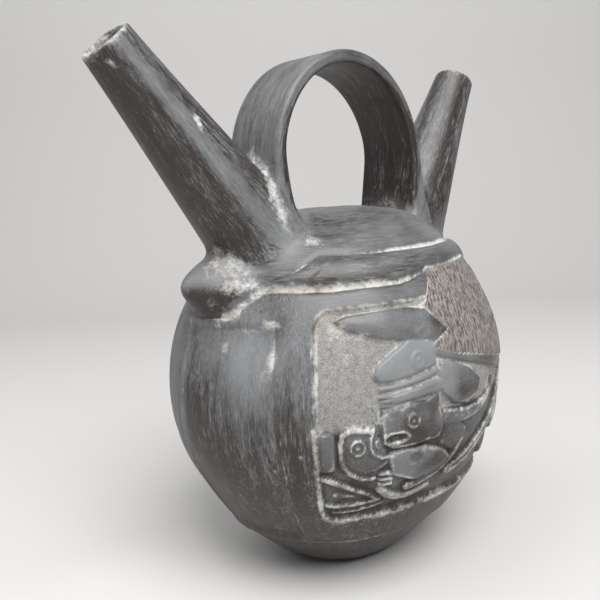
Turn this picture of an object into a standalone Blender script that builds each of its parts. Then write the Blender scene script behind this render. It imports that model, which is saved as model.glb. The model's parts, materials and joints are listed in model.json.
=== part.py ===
"""Double-spout bottle of burnished black clay, with a strap handle and a relief panel.

The base stands on Z = 0 with its centre at the origin. The relief panel faces -Y, and
the two spouts, the handle and the two lugs lie in the plane of X and Z.
Lengths are in metres, angles in degrees. A place on the body is given by its turn,
from the middle of the front towards +X, and its rise above the body's widest ring.
"""
import math

import bmesh
import bpy
import numpy as np

# Body: an ellipsoid that stands on a small flat base
BODY_HALF_WIDTH = 0.0718
BODY_HALF_DEPTH = 0.0605
BODY_HALF_HEIGHT = 0.0725
BODY_CENTRE_HEIGHT = BODY_HALF_HEIGHT - 0.0008
BODY_TOP = BODY_CENTRE_HEIGHT + BODY_HALF_HEIGHT
BASE_RADIUS = 0.020
BASE_THICKNESS = 0.007
BASE_EDGE_ROUND = 0.0016
BASE_CUT = 0.0006
BODY_WALL = 0.0052
DOME_DROP = 0.0050
LOWER_TAPER = 0.0022

# Shoulder: a soft roll between two grooves, drawn together at the lugs
SHOULDER_ROLL = 0.0019
SHOULDER_GROOVE = 0.0009
SHOULDER_LOW_RISE = 36.8
SHOULDER_HIGH_RISE = 47.8

# Frame round each panel, and the plain facets between the frames
FRAME_PROUD = 0.0008
PANEL_DEPTH = 0.0012
FACET_DEPTH = 0.0004
PANEL_HALF_TURN = 47.5
PANEL_TOP_RISE = 30.2
PANEL_BOTTOM_RISE = -31.5
PANEL_CORNER = 5.0
STILE_TURN = 10.5
FRAME_FOOT_RISE = -45.5
SEAM_TURN = 100.0
SEAM_RIDGE = 0.0006

# Relief on the panel
FIGURE_HEIGHT = 0.0020
PELT_PROUD = 0.0008

# Spouts: tapered tubes on roots inside the body, the left one leaning further out
SPOUT_LENGTH = 0.0974
SPOUT_MOUTH_RADIUS = 0.0089
SPOUT_ROOT_RADIUS = 0.0195
SPOUT_SWELL = 1.205
LEFT_LEAN = 40.0
LEFT_ROOT_X = -0.0304
LEFT_ROOT_HEIGHT = BODY_TOP - 0.0241
RIGHT_LEAN = 30.4
RIGHT_ROOT_X = 0.0344
RIGHT_ROOT_HEIGHT = BODY_TOP - 0.0346
LIP_WALL = 0.0025
SPOUT_WALL = 0.0042
SPOUT_FILLET = 0.007

# Handle: a flat strap bent to an arch, its feet set in the roots of the spouts
HANDLE_HALF_SPAN = 0.0372
HANDLE_SPRING_HEIGHT = BODY_TOP + 0.0121
HANDLE_RISE = 0.0394
HANDLE_LEG = 0.030
HANDLE_WIDTH = 0.0278
HANDLE_THICKNESS = 0.0046
HANDLE_EDGE_ROUND = 0.0017
HANDLE_FLARE = 0.0022
HANDLE_FILLET = 0.0045

# Lugs: blunt noses at the ends of the shoulder
LUG_REACH = BODY_HALF_WIDTH + 0.0010
LUG_HEIGHT = BODY_CENTRE_HEIGHT + 0.0455
LUG_NOSE = 0.0145
LUG_BLUNTNESS = 0.62
LUG_LENGTH = 0.0225
LUG_DROP = 0.0030
LUG_ROOT_RADIUS = 0.0125
LUG_FILLET = 0.005

# Fineness of the surface
PANEL_STEP = 1.0
PLAIN_STEP = 3.2
TUBE_SIDES = 40
TUBE_STEPS = 34
LUG_SIDES = 28
JOIN_REACH = 2.0
FACE_SHARE = 0.134
RELIEF_CARE = 0.0012


def smooth_step(x, low, high):
    """Goes from 0 at low to 1 at high, level at both ends."""
    t = np.clip((x - low) / (high - low), 0.0, 1.0)
    return t * t * (3.0 - 2.0 * t)


def bell(x, middle, spread):
    """A bell curve of height 1 at the middle."""
    return np.exp(-((x - middle) / spread) ** 2)


def smooth_least(a, b, fillet):
    """The lesser of a and b, rounded where they are within one fillet of each other."""
    h = np.clip(fillet - np.abs(a - b), 0.0, None) / fillet
    return np.minimum(a, b) - h * h * fillet * 0.25


def rectangle(u, v, left, right, low, high, corner):
    """Distance to a rectangle with round corners, negative inside."""
    across = np.abs(u - 0.5 * (left + right)) - 0.5 * (right - left) + corner
    along = np.abs(v - 0.5 * (low + high)) - 0.5 * (high - low) + corner
    outside = np.hypot(np.maximum(across, 0.0), np.maximum(along, 0.0))
    return outside + np.minimum(np.maximum(across, along), 0.0) - corner


def limb(u, v, start, end, start_radius, end_radius):
    """Distance to a straight limb with round ends that tapers along its length."""
    du = end[0] - start[0]
    dv = end[1] - start[1]
    share = np.clip(((u - start[0]) * du + (v - start[1]) * dv) / (du * du + dv * dv), 0.0, 1.0)
    reach = np.hypot(u - start[0] - share * du, v - start[1] - share * dv)
    return reach - start_radius - share * (end_radius - start_radius)


def bent_limb(u, v, start, middle, end, start_radius, end_radius, pieces=8):
    """Distance to a limb bent along a parabola that passes through its middle point."""
    t = np.linspace(0.0, 1.0, pieces + 1)[:, None]
    pull = 2.0 * np.array(middle) - 0.5 * (np.array(start) + np.array(end))
    path = (1 - t) ** 2 * np.array(start) + 2 * t * (1 - t) * pull + t ** 2 * np.array(end)
    radii = start_radius + t[:, 0] * (end_radius - start_radius)
    parts = [
        limb(u, v, path[i], path[i + 1], radii[i], radii[i + 1])
        for i in range(pieces)
    ]
    return np.minimum.reduce(parts)


def oval(u, v, middle, half_length, half_width, tilt=0.0):
    """Distance to an ellipse, near enough for a soft edge."""
    c = math.cos(math.radians(tilt))
    s = math.sin(math.radians(tilt))
    x = (u - middle[0]) * c + (v - middle[1]) * s
    y = (v - middle[1]) * c - (u - middle[0]) * s
    size = np.hypot(x / half_length, y / half_width)
    return (size - 1.0) * min(half_length, half_width)


def cut_out(u, v, corners, round_off=0.0):
    """Distance to a shape with straight sides, negative inside."""
    nearest = np.full(np.shape(u), 1e9)
    inside = np.zeros(np.shape(u), dtype=bool)
    for (au, av), (bu, bv) in zip(corners, corners[1:] + corners[:1]):
        nearest = np.minimum(nearest, limb(u, v, (au, av), (bu, bv), 0.0, 0.0))
        crosses = (av > v) != (bv > v)
        rise = np.where(crosses, bv - av, 1.0)
        inside ^= crosses & (u < (bu - au) * (v - av) / rise + au)
    return np.where(inside, -nearest, nearest) - round_off


def raised(distance, height, edge=1.3):
    """A form of the given height whose side slopes over one edge width."""
    return height * smooth_step(-distance, -0.5 * edge, 0.5 * edge)


def ring(u, v, middle, radius, height, line=0.8):
    """A raised ring with a raised dot in its middle, as for an eye."""
    away = np.hypot(u - middle[0], v - middle[1])
    return height * (bell(away, radius, line) + bell(away, 0.0, 0.45 * radius))


def claws(u, v, start, step, reach, count, radius, height):
    """A row of short fingers, each one step from the last."""
    forms = []
    for i in range(count):
        root = (start[0] + i * step[0], start[1] + i * step[1])
        tip = (root[0] + reach[0], root[1] + reach[1])
        forms.append(raised(limb(u, v, root, tip, radius, 0.7 * radius), height, 0.9))
    return np.maximum.reduce(forms)


def crest(u, v):
    """The wedge-shaped headdress over the upper animal."""
    outline = [(-41.6, 27.2), (-37.6, 28.5), (-27.2, 29.0), (-16.8, 29.1), (-10.0, 27.8),
               (-2.7, 21.0), (-9.3, 18.4), (-18.4, 20.2), (-28.5, 22.1), (-36.6, 24.5)]
    return raised(cut_out(u, v, outline, 0.2), 0.85)


def upper_animal(u, v):
    """Head with open jaws, a forelimb with claws, and a round haunch."""
    head = [(-18.4, 20.2), (-23.9, 17.5), (-29.3, 14.3), (-30.2, 12.2), (-28.7, 10.6),
            (-24.7, 10.4), (-19.6, 10.8), (-13.8, 11.9), (-9.6, 12.6), (-9.2, 18.5)]
    haunch = [(-7.5, 12.6), (-3.0, 11.6), (4.5, 8.2), (8.7, 4.6), (7.2, 0.9),
              (1.6, -0.6), (-3.8, 0.8), (-8.1, 4.3), (-8.8, 8.8)]
    forms = [
        raised(cut_out(u, v, head, 0.2), 0.95),
        raised(bent_limb(u, v, (-28.6, 8.4), (-20.0, 8.9), (-9.4, 10.6), 0.6, 0.9), 0.7, 1.0),
        raised(limb(u, v, (-9.4, 6.7), (-24.6, 5.2), 1.7, 1.2), 0.9),
        claws(u, v, (-25.4, 6.2), (0.05, -1.2), (-3.4, 0.2), 4, 0.55, 0.85),
        raised(cut_out(u, v, haunch, 0.3), 1.0),
    ]
    return np.maximum.reduce(forms) + ring(u, v, (-16.3, 14.5), 2.0, 0.22)


def tail_bands(u, v):
    """Bands that sweep back from the animals to the right edge of the panel."""
    forms = [
        raised(bent_limb(u, v, (-8.0, 15.6), (8.0, 10.9), (38.0, 2.6), 1.2, 2.3), 0.8),
        raised(bent_limb(u, v, (-7.7, -2.4), (2.0, -4.0), (9.4, -3.5), 2.3, 1.9), 0.8),
        raised(bent_limb(u, v, (9.4, -3.5), (14.4, -1.3), (17.7, 3.0), 1.9, 0.4), 0.8),
        raised(bent_limb(u, v, (-18.7, -22.9), (-6.4, -19.4), (0.5, -11.2), 1.7, 0.9), 0.9),
        raised(bent_limb(u, v, (-1.6, -21.4), (13.0, -15.4), (28.0, -1.5), 2.3, 1.2), 1.0),
        raised(bent_limb(u, v, (28.0, -1.5), (34.0, 1.0), (42.0, -6.0), 1.5, 0.8), 0.8),
        raised(oval(u, v, (34.0, -12.5), 6.8, 4.6, 40.0), 0.85),
        raised(bent_limb(u, v, (24.0, -24.0), (34.0, -24.6), (44.0, -20.0), 1.0, 1.6), 0.75),
    ]
    beads = [raised(oval(u, v, (9.4 + 4.4 * i, -21.6 + 3.3 * i), 2.1, 1.2, 40.0), 0.7)
             for i in range(5)]
    return np.maximum.reduce(forms + beads)


def middle_animal(u, v):
    """The large head in the middle, with an ear, a toothed mouth and its neck behind."""
    head = [(-28.4, 3.2), (-24.4, 2.6), (-18.0, 3.4), (-14.6, 3.2), (-10.3, 5.0), (-8.9, -4.6),
            (-9.7, -7.6), (-19.2, -8.3), (-25.6, -8.0), (-28.5, -6.2), (-28.8, 0.7)]
    neck = [(-9.2, -0.8), (-1.5, -5.6), (2.3, -8.2), (2.3, -12.4), (-3.1, -13.9), (-8.6, -10.4)]
    mouth = oval(u, v, (-24.7, -5.0), 3.9, 1.5, 3.0)
    forms = [
        raised(cut_out(u, v, head, 0.2), 1.0),
        raised(cut_out(u, v, neck, 0.3), 0.6),
        raised(bent_limb(u, v, (-31.5, 3.8), (-30.5, 0.4), (-29.9, -3.4), 0.6, 0.5), 0.4, 0.9),
    ]
    lips = 0.25 * bell(mouth, 0.0, 0.5) - 0.45 * smooth_step(-mouth, 0.1, 0.9)
    return np.maximum.reduce(forms) + lips + ring(u, v, (-19.0, -0.8), 1.6, 0.22, 0.7)


def lower_animal(u, v):
    """The crouching body under the middle head, with a paw and a long foot."""
    body = [(-26.8, -10.0), (-22.5, -9.2), (-14.6, -9.6), (-7.9, -12.0), (-3.4, -16.0),
            (-6.5, -19.4), (-16.6, -20.8), (-24.6, -16.8)]
    dent = oval(u, v, (-17.5, -12.4), 2.8, 1.7, -10.0)
    forms = [
        raised(cut_out(u, v, body, 0.3), 0.85) - 0.35 * smooth_step(-dent, -0.4, 0.9),
        raised(bent_limb(u, v, (-28.8, -21.2), (-21.0, -26.4), (-9.7, -25.6), 1.6, 1.2), 0.75),
        claws(u, v, (-25.6, -15.9), (0.05, -1.8), (-4.0, 0.5), 3, 0.7, 0.95),
    ]
    return np.maximum.reduce(forms)


def bird(u, v):
    """The round head with a hooked beak at the left of the panel, facing right."""
    head = oval(u, v, (-34.7, -9.3), 5.5, 7.0)
    forms = [
        raised(rectangle(u, v, -48.5, -41.7, -13.3, -1.8, 1.2), 0.55),
        raised(head, 0.8),
        0.5 * bell(head, 1.3, 0.7),
        raised(bent_limb(u, v, (-31.4, -4.2), (-30.6, -7.0), (-26.0, -9.6), 1.2, 0.7), 0.95, 1.0),
        raised(bent_limb(u, v, (-27.2, -11.2), (-30.2, -13.4), (-35.0, -15.0), 0.9, 1.4), 0.75),
    ]
    return np.maximum.reduce(forms) + ring(u, v, (-35.3, -6.6), 2.3, 0.26, 0.7)


def fins(u, v):
    """A fin with three sides and two crescents in the lower left corner."""
    blade = [(-44.8, -17.0), (-38.2, -19.4), (-31.6, -22.0), (-35.0, -22.6), (-45.1, -22.8)]
    forms = [
        raised(bent_limb(u, v, (-47.4, -14.8), (-40.0, -17.2), (-30.4, -21.4), 0.8, 0.9), 0.8, 1.0),
        raised(cut_out(u, v, blade, 0.1), 0.7, 1.0),
        raised(bent_limb(u, v, (-46.3, -24.9), (-36.6, -25.3), (-25.5, -23.0), 0.7, 0.8), 0.75, 1.0),
        raised(bent_limb(u, v, (-44.4, -27.7), (-35.5, -28.0), (-26.6, -25.8), 1.0, 0.6), 0.6, 1.0),
    ]
    return np.maximum.reduce(forms)


def pelt(u, v):
    """Share of the raised pelt block, which breaks into the frame's top band."""
    outline = [(-1.9, 39.4), (-9.8, 28.4), (-2.2, 20.8), (-10.4, 17.3),
               (-2.4, 14.2), (9.2, 11.4), (38.5, 4.8), (39.5, 40.0)]
    return smooth_step(-cut_out(u, v, outline, 0.2), -0.6, 0.6)


def front_relief(u, v):
    """Height of the front relief over the panel's ground, as a share of the figures'."""
    figures = [figure(u, v) for figure in (crest, upper_animal, middle_animal,
                                        lower_animal, tail_bands, bird, fins)]
    return np.maximum.reduce(figures)


def back_relief(u, v):
    """Plainer relief for the back: two scrolls that face each other under a bar."""
    side = np.abs(u)
    forms = [
        raised(bent_limb(side, v, (6.0, -22.0), (30.0, -14.0), (28.0, 10.0), 2.4, 2.0), 0.8),
        raised(bent_limb(side, v, (28.0, 10.0), (18.0, 15.0), (14.0, 2.0), 2.0, 1.4), 0.8),
        raised(rectangle(side, v, -1.0, 36.0, 20.5, 25.0, 2.0), 0.7),
    ]
    return np.maximum.reduce(forms)


def foot_rise():
    """Rise at which the body meets the edge of its flat base, below the widest ring."""
    mean = math.sqrt(BODY_HALF_WIDTH * BODY_HALF_DEPTH)
    return -math.degrees(math.atan2(BODY_CENTRE_HEIGHT / BODY_HALF_HEIGHT, BASE_RADIUS / mean))


def stretch(turn, rise):
    """Share by which the body grows for one metre of clay added to its surface."""
    t = np.radians(turn)
    r = np.radians(rise)
    return np.sqrt((np.sin(t) * np.cos(r) / BODY_HALF_WIDTH) ** 2
                   + (np.cos(t) * np.cos(r) / BODY_HALF_DEPTH) ** 2
                   + (np.sin(r) / BODY_HALF_HEIGHT) ** 2)


def plain_offset(turn, rise):
    """Clay added to the ellipsoid for the lowered dome, the lean belly and the foot."""
    foot = foot_rise()
    foot_growth = (BODY_CENTRE_HEIGHT / BODY_HALF_HEIGHT / math.sin(math.radians(-foot)) - 1.0)
    foot_offset = foot_growth / stretch(45.0, foot)
    dome = DOME_DROP * (np.clip(rise - 50.0, 0.0, None) / 40.0) ** 1.5
    taper = LOWER_TAPER * bell(rise, -36.0, 20.0)
    return foot_offset * smooth_step(-rise, 52.0, -foot) - dome - taper


def floor_offset(turn, rise, floor):
    """Clay that would bring the surface down to a level floor, far away for what faces up."""
    drop = (BODY_CENTRE_HEIGHT - floor) / BODY_HALF_HEIGHT
    sine = np.maximum(-np.sin(np.radians(rise)), 0.2)
    return (drop / sine - 1.0) / stretch(turn, rise)


def shoulder(turn, rise):
    """The roll over the frame and the groove on each side of it."""
    half = np.where(np.abs(turn) < 90.0, np.abs(turn), 180.0 - np.abs(turn))
    over_pelt = smooth_step(turn, -18.0, 4.0) * smooth_step(-turn, -46.0, -34.0)
    low = SHOULDER_LOW_RISE + 3.2 * over_pelt - 8.5 * smooth_step(half, 64.0, 80.0)
    high = (SHOULDER_HIGH_RISE - 5.5 * smooth_step(half, 46.0, 58.0)
            - 3.0 * smooth_step(half, 57.0, 68.0))
    share = np.clip((rise - low) / (high - low), 0.0, 1.0)
    roll = SHOULDER_ROLL * np.sin(math.pi * share) ** 0.8
    grooves = SHOULDER_GROOVE * (bell(rise, low, 1.3) + 0.7 * bell(rise, high, 1.2))
    return roll - grooves, rise - low


def clay_offset(turn, rise):
    """All the clay added to the ellipsoid at each turn and rise."""
    half = np.where(np.abs(turn) < 90.0, np.abs(turn), 180.0 - np.abs(turn))
    front = np.abs(turn) < 90.0
    roll, over_groove = shoulder(turn, rise)
    panel = rectangle(half, rise, -PANEL_HALF_TURN, PANEL_HALF_TURN,
                      PANEL_BOTTOM_RISE, PANEL_TOP_RISE, PANEL_CORNER)
    stile_turn = PANEL_HALF_TURN + STILE_TURN
    facet = rectangle(half, rise, stile_turn, 110.0, FRAME_FOOT_RISE + 3.0, 27.0, 3.0)
    band = smooth_step(rise, FRAME_FOOT_RISE - 0.6, FRAME_FOOT_RISE + 0.6)
    band = band * smooth_step(-over_groove, 0.0, 1.2)
    frame = FRAME_PROUD * band
    frame -= (FRAME_PROUD + FACET_DEPTH) * smooth_step(-facet, -0.5, 2.2)
    opened = smooth_step(-panel, -0.7, 0.7)
    frame -= (FRAME_PROUD + PANEL_DEPTH) * opened
    seam_line = np.abs(turn) - SEAM_TURN + 9.0 * smooth_step(rise, 14.0, 26.0)
    seam = SEAM_RIDGE * bell(seam_line, 0.0, 1.2) * smooth_step(-facet, 0.0, 3.0)
    across_back = turn - 180.0 * np.sign(turn)
    relief = np.where(front, front_relief(turn, rise), back_relief(across_back, rise))
    offset = roll + frame + seam + FIGURE_HEIGHT * relief * opened
    patch = pelt(turn, rise) * front
    return offset * (1.0 - patch) + PELT_PROUD * patch + plain_offset(turn, rise)


def body_point(turn, rise, offset):
    """Point of the body with the given clay on it, down to just under the flat base."""
    under = floor_offset(turn, rise, -BASE_CUT)
    offset = np.minimum(smooth_least(offset, under, BASE_EDGE_ROUND), under)
    growth = 1.0 + offset * stretch(turn, rise)
    t = np.radians(turn)
    r = np.radians(rise)
    x = BODY_HALF_WIDTH * growth * np.sin(t) * np.cos(r)
    y = -BODY_HALF_DEPTH * growth * np.cos(t) * np.cos(r)
    z = BODY_CENTRE_HEIGHT + BODY_HALF_HEIGHT * growth * np.sin(r)
    return np.stack([x, y, z], axis=-1)


def body_distance(points):
    """Distance from the body's surface, negative inside."""
    x = points[:, 0] / BODY_HALF_WIDTH
    y = -points[:, 1] / BODY_HALF_DEPTH
    z = (points[:, 2] - BODY_CENTRE_HEIGHT) / BODY_HALF_HEIGHT
    growth = np.sqrt(x * x + y * y + z * z) + 1e-9
    turn = np.degrees(np.arctan2(x, y))
    rise = np.degrees(np.arcsin(np.clip(z / growth, -1.0, 1.0)))
    return (growth - 1.0) / stretch(turn, rise) - clay_offset(turn, rise)


def spout_frame(side, root_x, root_height, lean):
    """Mouth centre, direction down the spout, and the direction across it."""
    angle = math.radians(lean)
    down = np.array([-side * math.sin(angle), 0.0, -math.cos(angle)])
    across = np.array([math.cos(angle), 0.0, -side * math.sin(angle)])
    mouth = np.array([root_x, 0.0, root_height]) - SPOUT_LENGTH * down
    return mouth, down, across


def spout_radius(along):
    """Outer radius at a distance down from the mouth."""
    share = np.clip(along / SPOUT_LENGTH, 0.0, None)
    return SPOUT_MOUTH_RADIUS + (SPOUT_ROOT_RADIUS - SPOUT_MOUTH_RADIUS) * share ** SPOUT_SWELL


def spout_distance(points, mouth, down, across):
    """Distance from a spout's outer surface."""
    away = points - mouth
    along = away @ down
    radius = np.hypot(away @ across, away[:, 1])
    ends = np.maximum(-along, along - SPOUT_LENGTH)
    return np.maximum(radius - spout_radius(along), ends)


def handle_path(count=121):
    """Middle line of the handle in X and Z, from foot to foot over the arch."""
    angle = np.linspace(math.pi, 0.0, count)
    x = HANDLE_HALF_SPAN * np.cos(angle)
    z = HANDLE_SPRING_HEIGHT + HANDLE_RISE * np.sin(angle)
    foot = HANDLE_SPRING_HEIGHT - HANDLE_LEG
    legs = np.linspace(foot, HANDLE_SPRING_HEIGHT, 12)[:-1]
    x = np.concatenate([np.full(11, -HANDLE_HALF_SPAN), x, np.full(11, HANDLE_HALF_SPAN)])
    z = np.concatenate([legs, z, legs[::-1]])
    return np.stack([x, z], axis=-1)


def handle_spread(z):
    """Clay added to the strap's half thickness and half width as it nears its feet."""
    return HANDLE_FLARE * (1.0 - smooth_step(z, HANDLE_SPRING_HEIGHT - HANDLE_LEG,
                                             HANDLE_SPRING_HEIGHT + 0.3 * HANDLE_RISE))


def handle_distance(points):
    """Distance from the strap's surface."""
    path = handle_path()
    start = path[:-1]
    step = path[1:] - start
    here = points[:, None, [0, 2]] - start[None]
    share = np.clip((here * step).sum(-1) / (step * step).sum(-1), 0.0, 1.0)
    away = np.linalg.norm(here - share[..., None] * step, axis=-1).min(axis=1)
    spread = handle_spread(points[:, 2])
    thick = away - (0.5 * HANDLE_THICKNESS + spread - HANDLE_EDGE_ROUND)
    wide = np.abs(points[:, 1]) - (0.5 * HANDLE_WIDTH + spread - HANDLE_EDGE_ROUND)
    outside = np.hypot(np.maximum(thick, 0.0), np.maximum(wide, 0.0))
    return outside + np.minimum(np.maximum(thick, wide), 0.0) - HANDLE_EDGE_ROUND


def lug_axis(side):
    """The lug's tip, and the direction from there into the body."""
    tip = np.array([side * LUG_REACH, 0.0, LUG_HEIGHT])
    inward = np.array([-side * LUG_LENGTH, 0.0, -LUG_DROP])
    return tip, inward / np.linalg.norm(inward)


def lug_radius(along):
    """Radius of the lug at a distance from its tip."""
    share = np.clip(along / LUG_NOSE, 0.0, 1.0)
    return LUG_ROOT_RADIUS * share ** LUG_BLUNTNESS


def lug_distance(points, side):
    """Distance from a lug's surface."""
    tip, inward = lug_axis(side)
    away = points - tip
    along = away @ inward
    beside = np.linalg.norm(away - along[:, None] * inward, axis=1)
    beyond = np.maximum(-along, along - LUG_LENGTH)
    return np.maximum(beside - lug_radius(along), beyond)


def spouts():
    """Mouth and directions of the left and the right spout."""
    return (spout_frame(-1.0, LEFT_ROOT_X, LEFT_ROOT_HEIGHT, LEFT_LEAN),
            spout_frame(1.0, RIGHT_ROOT_X, RIGHT_ROOT_HEIGHT, RIGHT_LEAN))


def bottle_distance(points):
    """Distance from the whole bottle with fillets, and how near each point is to a join.

    The second value is 0 where two surfaces cross and 1 at a fillet's edge.
    """
    others = [(spout_distance(points, *frame), SPOUT_FILLET) for frame in spouts()]
    others += [(lug_distance(points, side), LUG_FILLET) for side in (-1.0, 1.0)]
    others.append((handle_distance(points), HANDLE_FILLET))
    distance = body_distance(points)
    gap = np.full(len(points), np.inf)
    for other, fillet in others:
        gap = np.minimum(gap, np.maximum(np.abs(distance), np.abs(other)) / fillet)
        distance = smooth_least(distance, other, fillet)
    return distance, gap


def rings_to_object(name, rings, first, last):
    """Closed skin over a stack of rings, drawn together to a point at each end."""
    rows, columns, _ = rings.shape
    points = np.vstack([rings.reshape(-1, 3), first, last])
    i, j = np.meshgrid(np.arange(rows - 1), np.arange(columns), indexing="ij")
    k = (j + 1) % columns
    quads = np.stack([i * columns + j, i * columns + k, (i + 1) * columns + k,
                      (i + 1) * columns + j], axis=-1).reshape(-1, 4)
    j = np.arange(columns)
    k = (j + 1) % columns
    start = np.full(columns, rows * columns)
    top = (rows - 1) * columns
    fans = np.vstack([np.stack([start, k, j], axis=-1),
                      np.stack([start + 1, top + j, top + k], axis=-1)])
    mesh = bpy.data.meshes.new(name)
    mesh.from_pydata(points.tolist(), [], quads.tolist() + fans.tolist())
    work = bmesh.new()
    work.from_mesh(mesh)
    bmesh.ops.recalc_face_normals(work, faces=work.faces)
    work.to_mesh(mesh)
    work.free()
    thing = bpy.data.objects.new(name, mesh)
    bpy.context.collection.objects.link(thing)
    return thing


def spaced(stops, steps):
    """Values that cross each stretch between two stops at about that stretch's step."""
    values = [np.array([stops[0]])]
    for low, high, step in zip(stops, stops[1:], steps):
        count = max(1, round((high - low) / step))
        values.append(np.linspace(low, high, count + 1)[1:])
    return np.concatenate(values)


def make_body():
    """The body with its relief; the mesh is fine on the front and coarser behind."""
    edge = PANEL_HALF_TURN + STILE_TURN + 3.0
    turns = spaced([-180.0, -180.0 + edge, -edge, edge, 180.0 - edge, 180.0],
                   [2 * PANEL_STEP, PLAIN_STEP, PANEL_STEP, PLAIN_STEP, 2 * PANEL_STEP])[:-1]
    rises = spaced([-89.0, FRAME_FOOT_RISE - 3.0, SHOULDER_HIGH_RISE + 3.0, 89.0],
                   [PLAIN_STEP, PANEL_STEP, PLAIN_STEP])
    turn, rise = np.meshgrid(turns, rises)
    rings = body_point(turn, rise, clay_offset(turn, rise))
    top = np.array([[0.0, 0.0, rings[-1, :, 2].mean()]])
    return rings_to_object("body", rings, np.array([[0.0, 0.0, -BASE_CUT]]), top)


def tube_rings(frame, along, radius, sides):
    """Rings of the given radii round a spout's axis."""
    mouth, down, across = frame
    angle = np.linspace(0.0, 2.0 * math.pi, sides, endpoint=False)
    middle = mouth + along[:, None] * down
    round_it = np.cos(angle)[:, None] * across + np.sin(angle)[:, None] * np.array([0.0, 1.0, 0.0])
    return middle[:, None, :] + radius[:, None, None] * round_it[None]


def make_spout(name, frame):
    """A spout with a rounded lip; its root ends inside the body."""
    mouth, down, _ = frame
    lip = 0.5 * LIP_WALL
    angle = np.radians(np.array([90.0, 60.0, 30.0, 0.0]))
    along = np.concatenate([lip - lip * np.sin(angle[:-1]), np.linspace(lip, SPOUT_LENGTH, TUBE_STEPS)])
    inset = np.concatenate([lip - lip * np.cos(angle[:-1]), np.zeros(TUBE_STEPS)])
    rings = tube_rings(frame, along, spout_radius(along) - inset, TUBE_SIDES)
    return rings_to_object(name, rings, mouth[None], (mouth + SPOUT_LENGTH * down)[None])


def make_handle():
    """The strap, carried along its middle line."""
    path = handle_path(61)
    run = np.gradient(path, axis=0)
    run /= np.linalg.norm(run, axis=1)[:, None]
    normal = np.stack([-run[:, 1], run[:, 0]], axis=-1)
    angle = np.radians(np.array([0.0, 30.0, 60.0, 90.0]))
    corner = HANDLE_EDGE_ROUND * np.stack([np.cos(angle), np.sin(angle)], axis=-1)
    spread = handle_spread(path[:, 1])
    half_wide = 0.5 * HANDLE_WIDTH + spread - HANDLE_EDGE_ROUND
    half_thick = 0.5 * HANDLE_THICKNESS + spread - HANDLE_EDGE_ROUND
    middle = np.linspace(1.0, -1.0, 9)[1:-1]
    parts = []
    for wide, thick, order in ((1, 1, 1), (-1, 1, -1), (-1, -1, 1), (1, -1, -1)):
        turned = corner[::order]
        y = wide * (half_wide[:, None] + turned[None, :, 0])
        n = thick * (half_thick[:, None] + turned[None, :, 1])
        parts.append(np.stack([y, n], axis=-1))
        if wide * thick > 0:
            y = wide * half_wide[:, None] * middle[None]
            n = np.repeat(thick * (half_thick + HANDLE_EDGE_ROUND)[:, None], len(middle), axis=1)
            parts.append(np.stack([y, n], axis=-1))
    section = np.concatenate(parts, axis=1)
    x = path[:, None, 0] + section[..., 1] * normal[:, None, 0]
    z = path[:, None, 1] + section[..., 1] * normal[:, None, 1]
    rings = np.stack([x, section[..., 0], z], axis=-1)
    return rings_to_object("handle", rings, rings[0].mean(0)[None], rings[-1].mean(0)[None])


def make_lug(name, side):
    """A blunt nose that widens to its root."""
    tip, inward = lug_axis(side)
    across = np.array([-inward[2], 0.0, inward[0]])
    along = np.concatenate([LUG_NOSE * np.linspace(0.1, 1.0, 11) ** 2, [LUG_LENGTH]])
    angle = np.linspace(0.0, 2.0 * math.pi, LUG_SIDES, endpoint=False)
    round_it = np.cos(angle)[:, None] * across + np.sin(angle)[:, None] * np.array([0.0, 1.0, 0.0])
    rings = tip + along[:, None, None] * inward + lug_radius(along)[:, None, None] * round_it[None]
    return rings_to_object(name, rings, tip[None], (tip + LUG_LENGTH * inward)[None])


def make_hollow():
    """The empty inside: the cavity of the body and the two bores that open into it."""
    turn, rise = np.meshgrid(np.linspace(-180.0, 180.0, 31)[:-1], np.linspace(-88.0, 88.0, 16))
    inner = plain_offset(turn, rise) - BODY_WALL
    floor = floor_offset(turn, rise, BASE_THICKNESS)
    inner = np.minimum(smooth_least(inner, floor, 2.0 * BODY_WALL), floor)
    growth = 1.0 + inner * stretch(turn, rise)
    t = np.radians(turn)
    r = np.radians(rise)
    rings = np.stack([BODY_HALF_WIDTH * growth * np.sin(t) * np.cos(r),
                      -BODY_HALF_DEPTH * growth * np.cos(t) * np.cos(r),
                      BODY_CENTRE_HEIGHT + BODY_HALF_HEIGHT * growth * np.sin(r)], axis=-1)
    bottom = np.array([[0.0, 0.0, rings[0, :, 2].mean()]])
    top = np.array([[0.0, 0.0, rings[-1, :, 2].mean()]])
    hollow = rings_to_object("hollow", rings, bottom, top)
    for name, frame in zip(("left_bore", "right_bore"), spouts()):
        mouth, down, _ = frame
        along = np.array([-0.3, 0.0, 0.1, 0.3, 0.65, 1.0]) * SPOUT_LENGTH
        wall = LIP_WALL + (SPOUT_WALL - LIP_WALL) * smooth_step(along, 0.0, 0.3 * SPOUT_LENGTH)
        rings = tube_rings(frame, along, spout_radius(along) - wall, 20)
        bore = rings_to_object(name, rings, (mouth + along[0] * down)[None],
                               (mouth + along[-1] * down)[None])
        join(hollow, bore, "UNION")
    return hollow


def make_base_cutter():
    """A slab whose top trims the base flat at Z = 0."""
    half = 2.5 * BASE_RADIUS
    depth = 10.0 * BASE_CUT
    work = bmesh.new()
    bmesh.ops.create_cube(work, size=1.0)
    for vert in work.verts:
        vert.co.x *= 2.0 * half
        vert.co.y *= 2.0 * half
        vert.co.z = (vert.co.z - 0.5) * depth
    mesh = bpy.data.meshes.new("base_cutter")
    work.to_mesh(mesh)
    work.free()
    cutter = bpy.data.objects.new("base_cutter", mesh)
    bpy.context.collection.objects.link(cutter)
    return cutter


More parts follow.
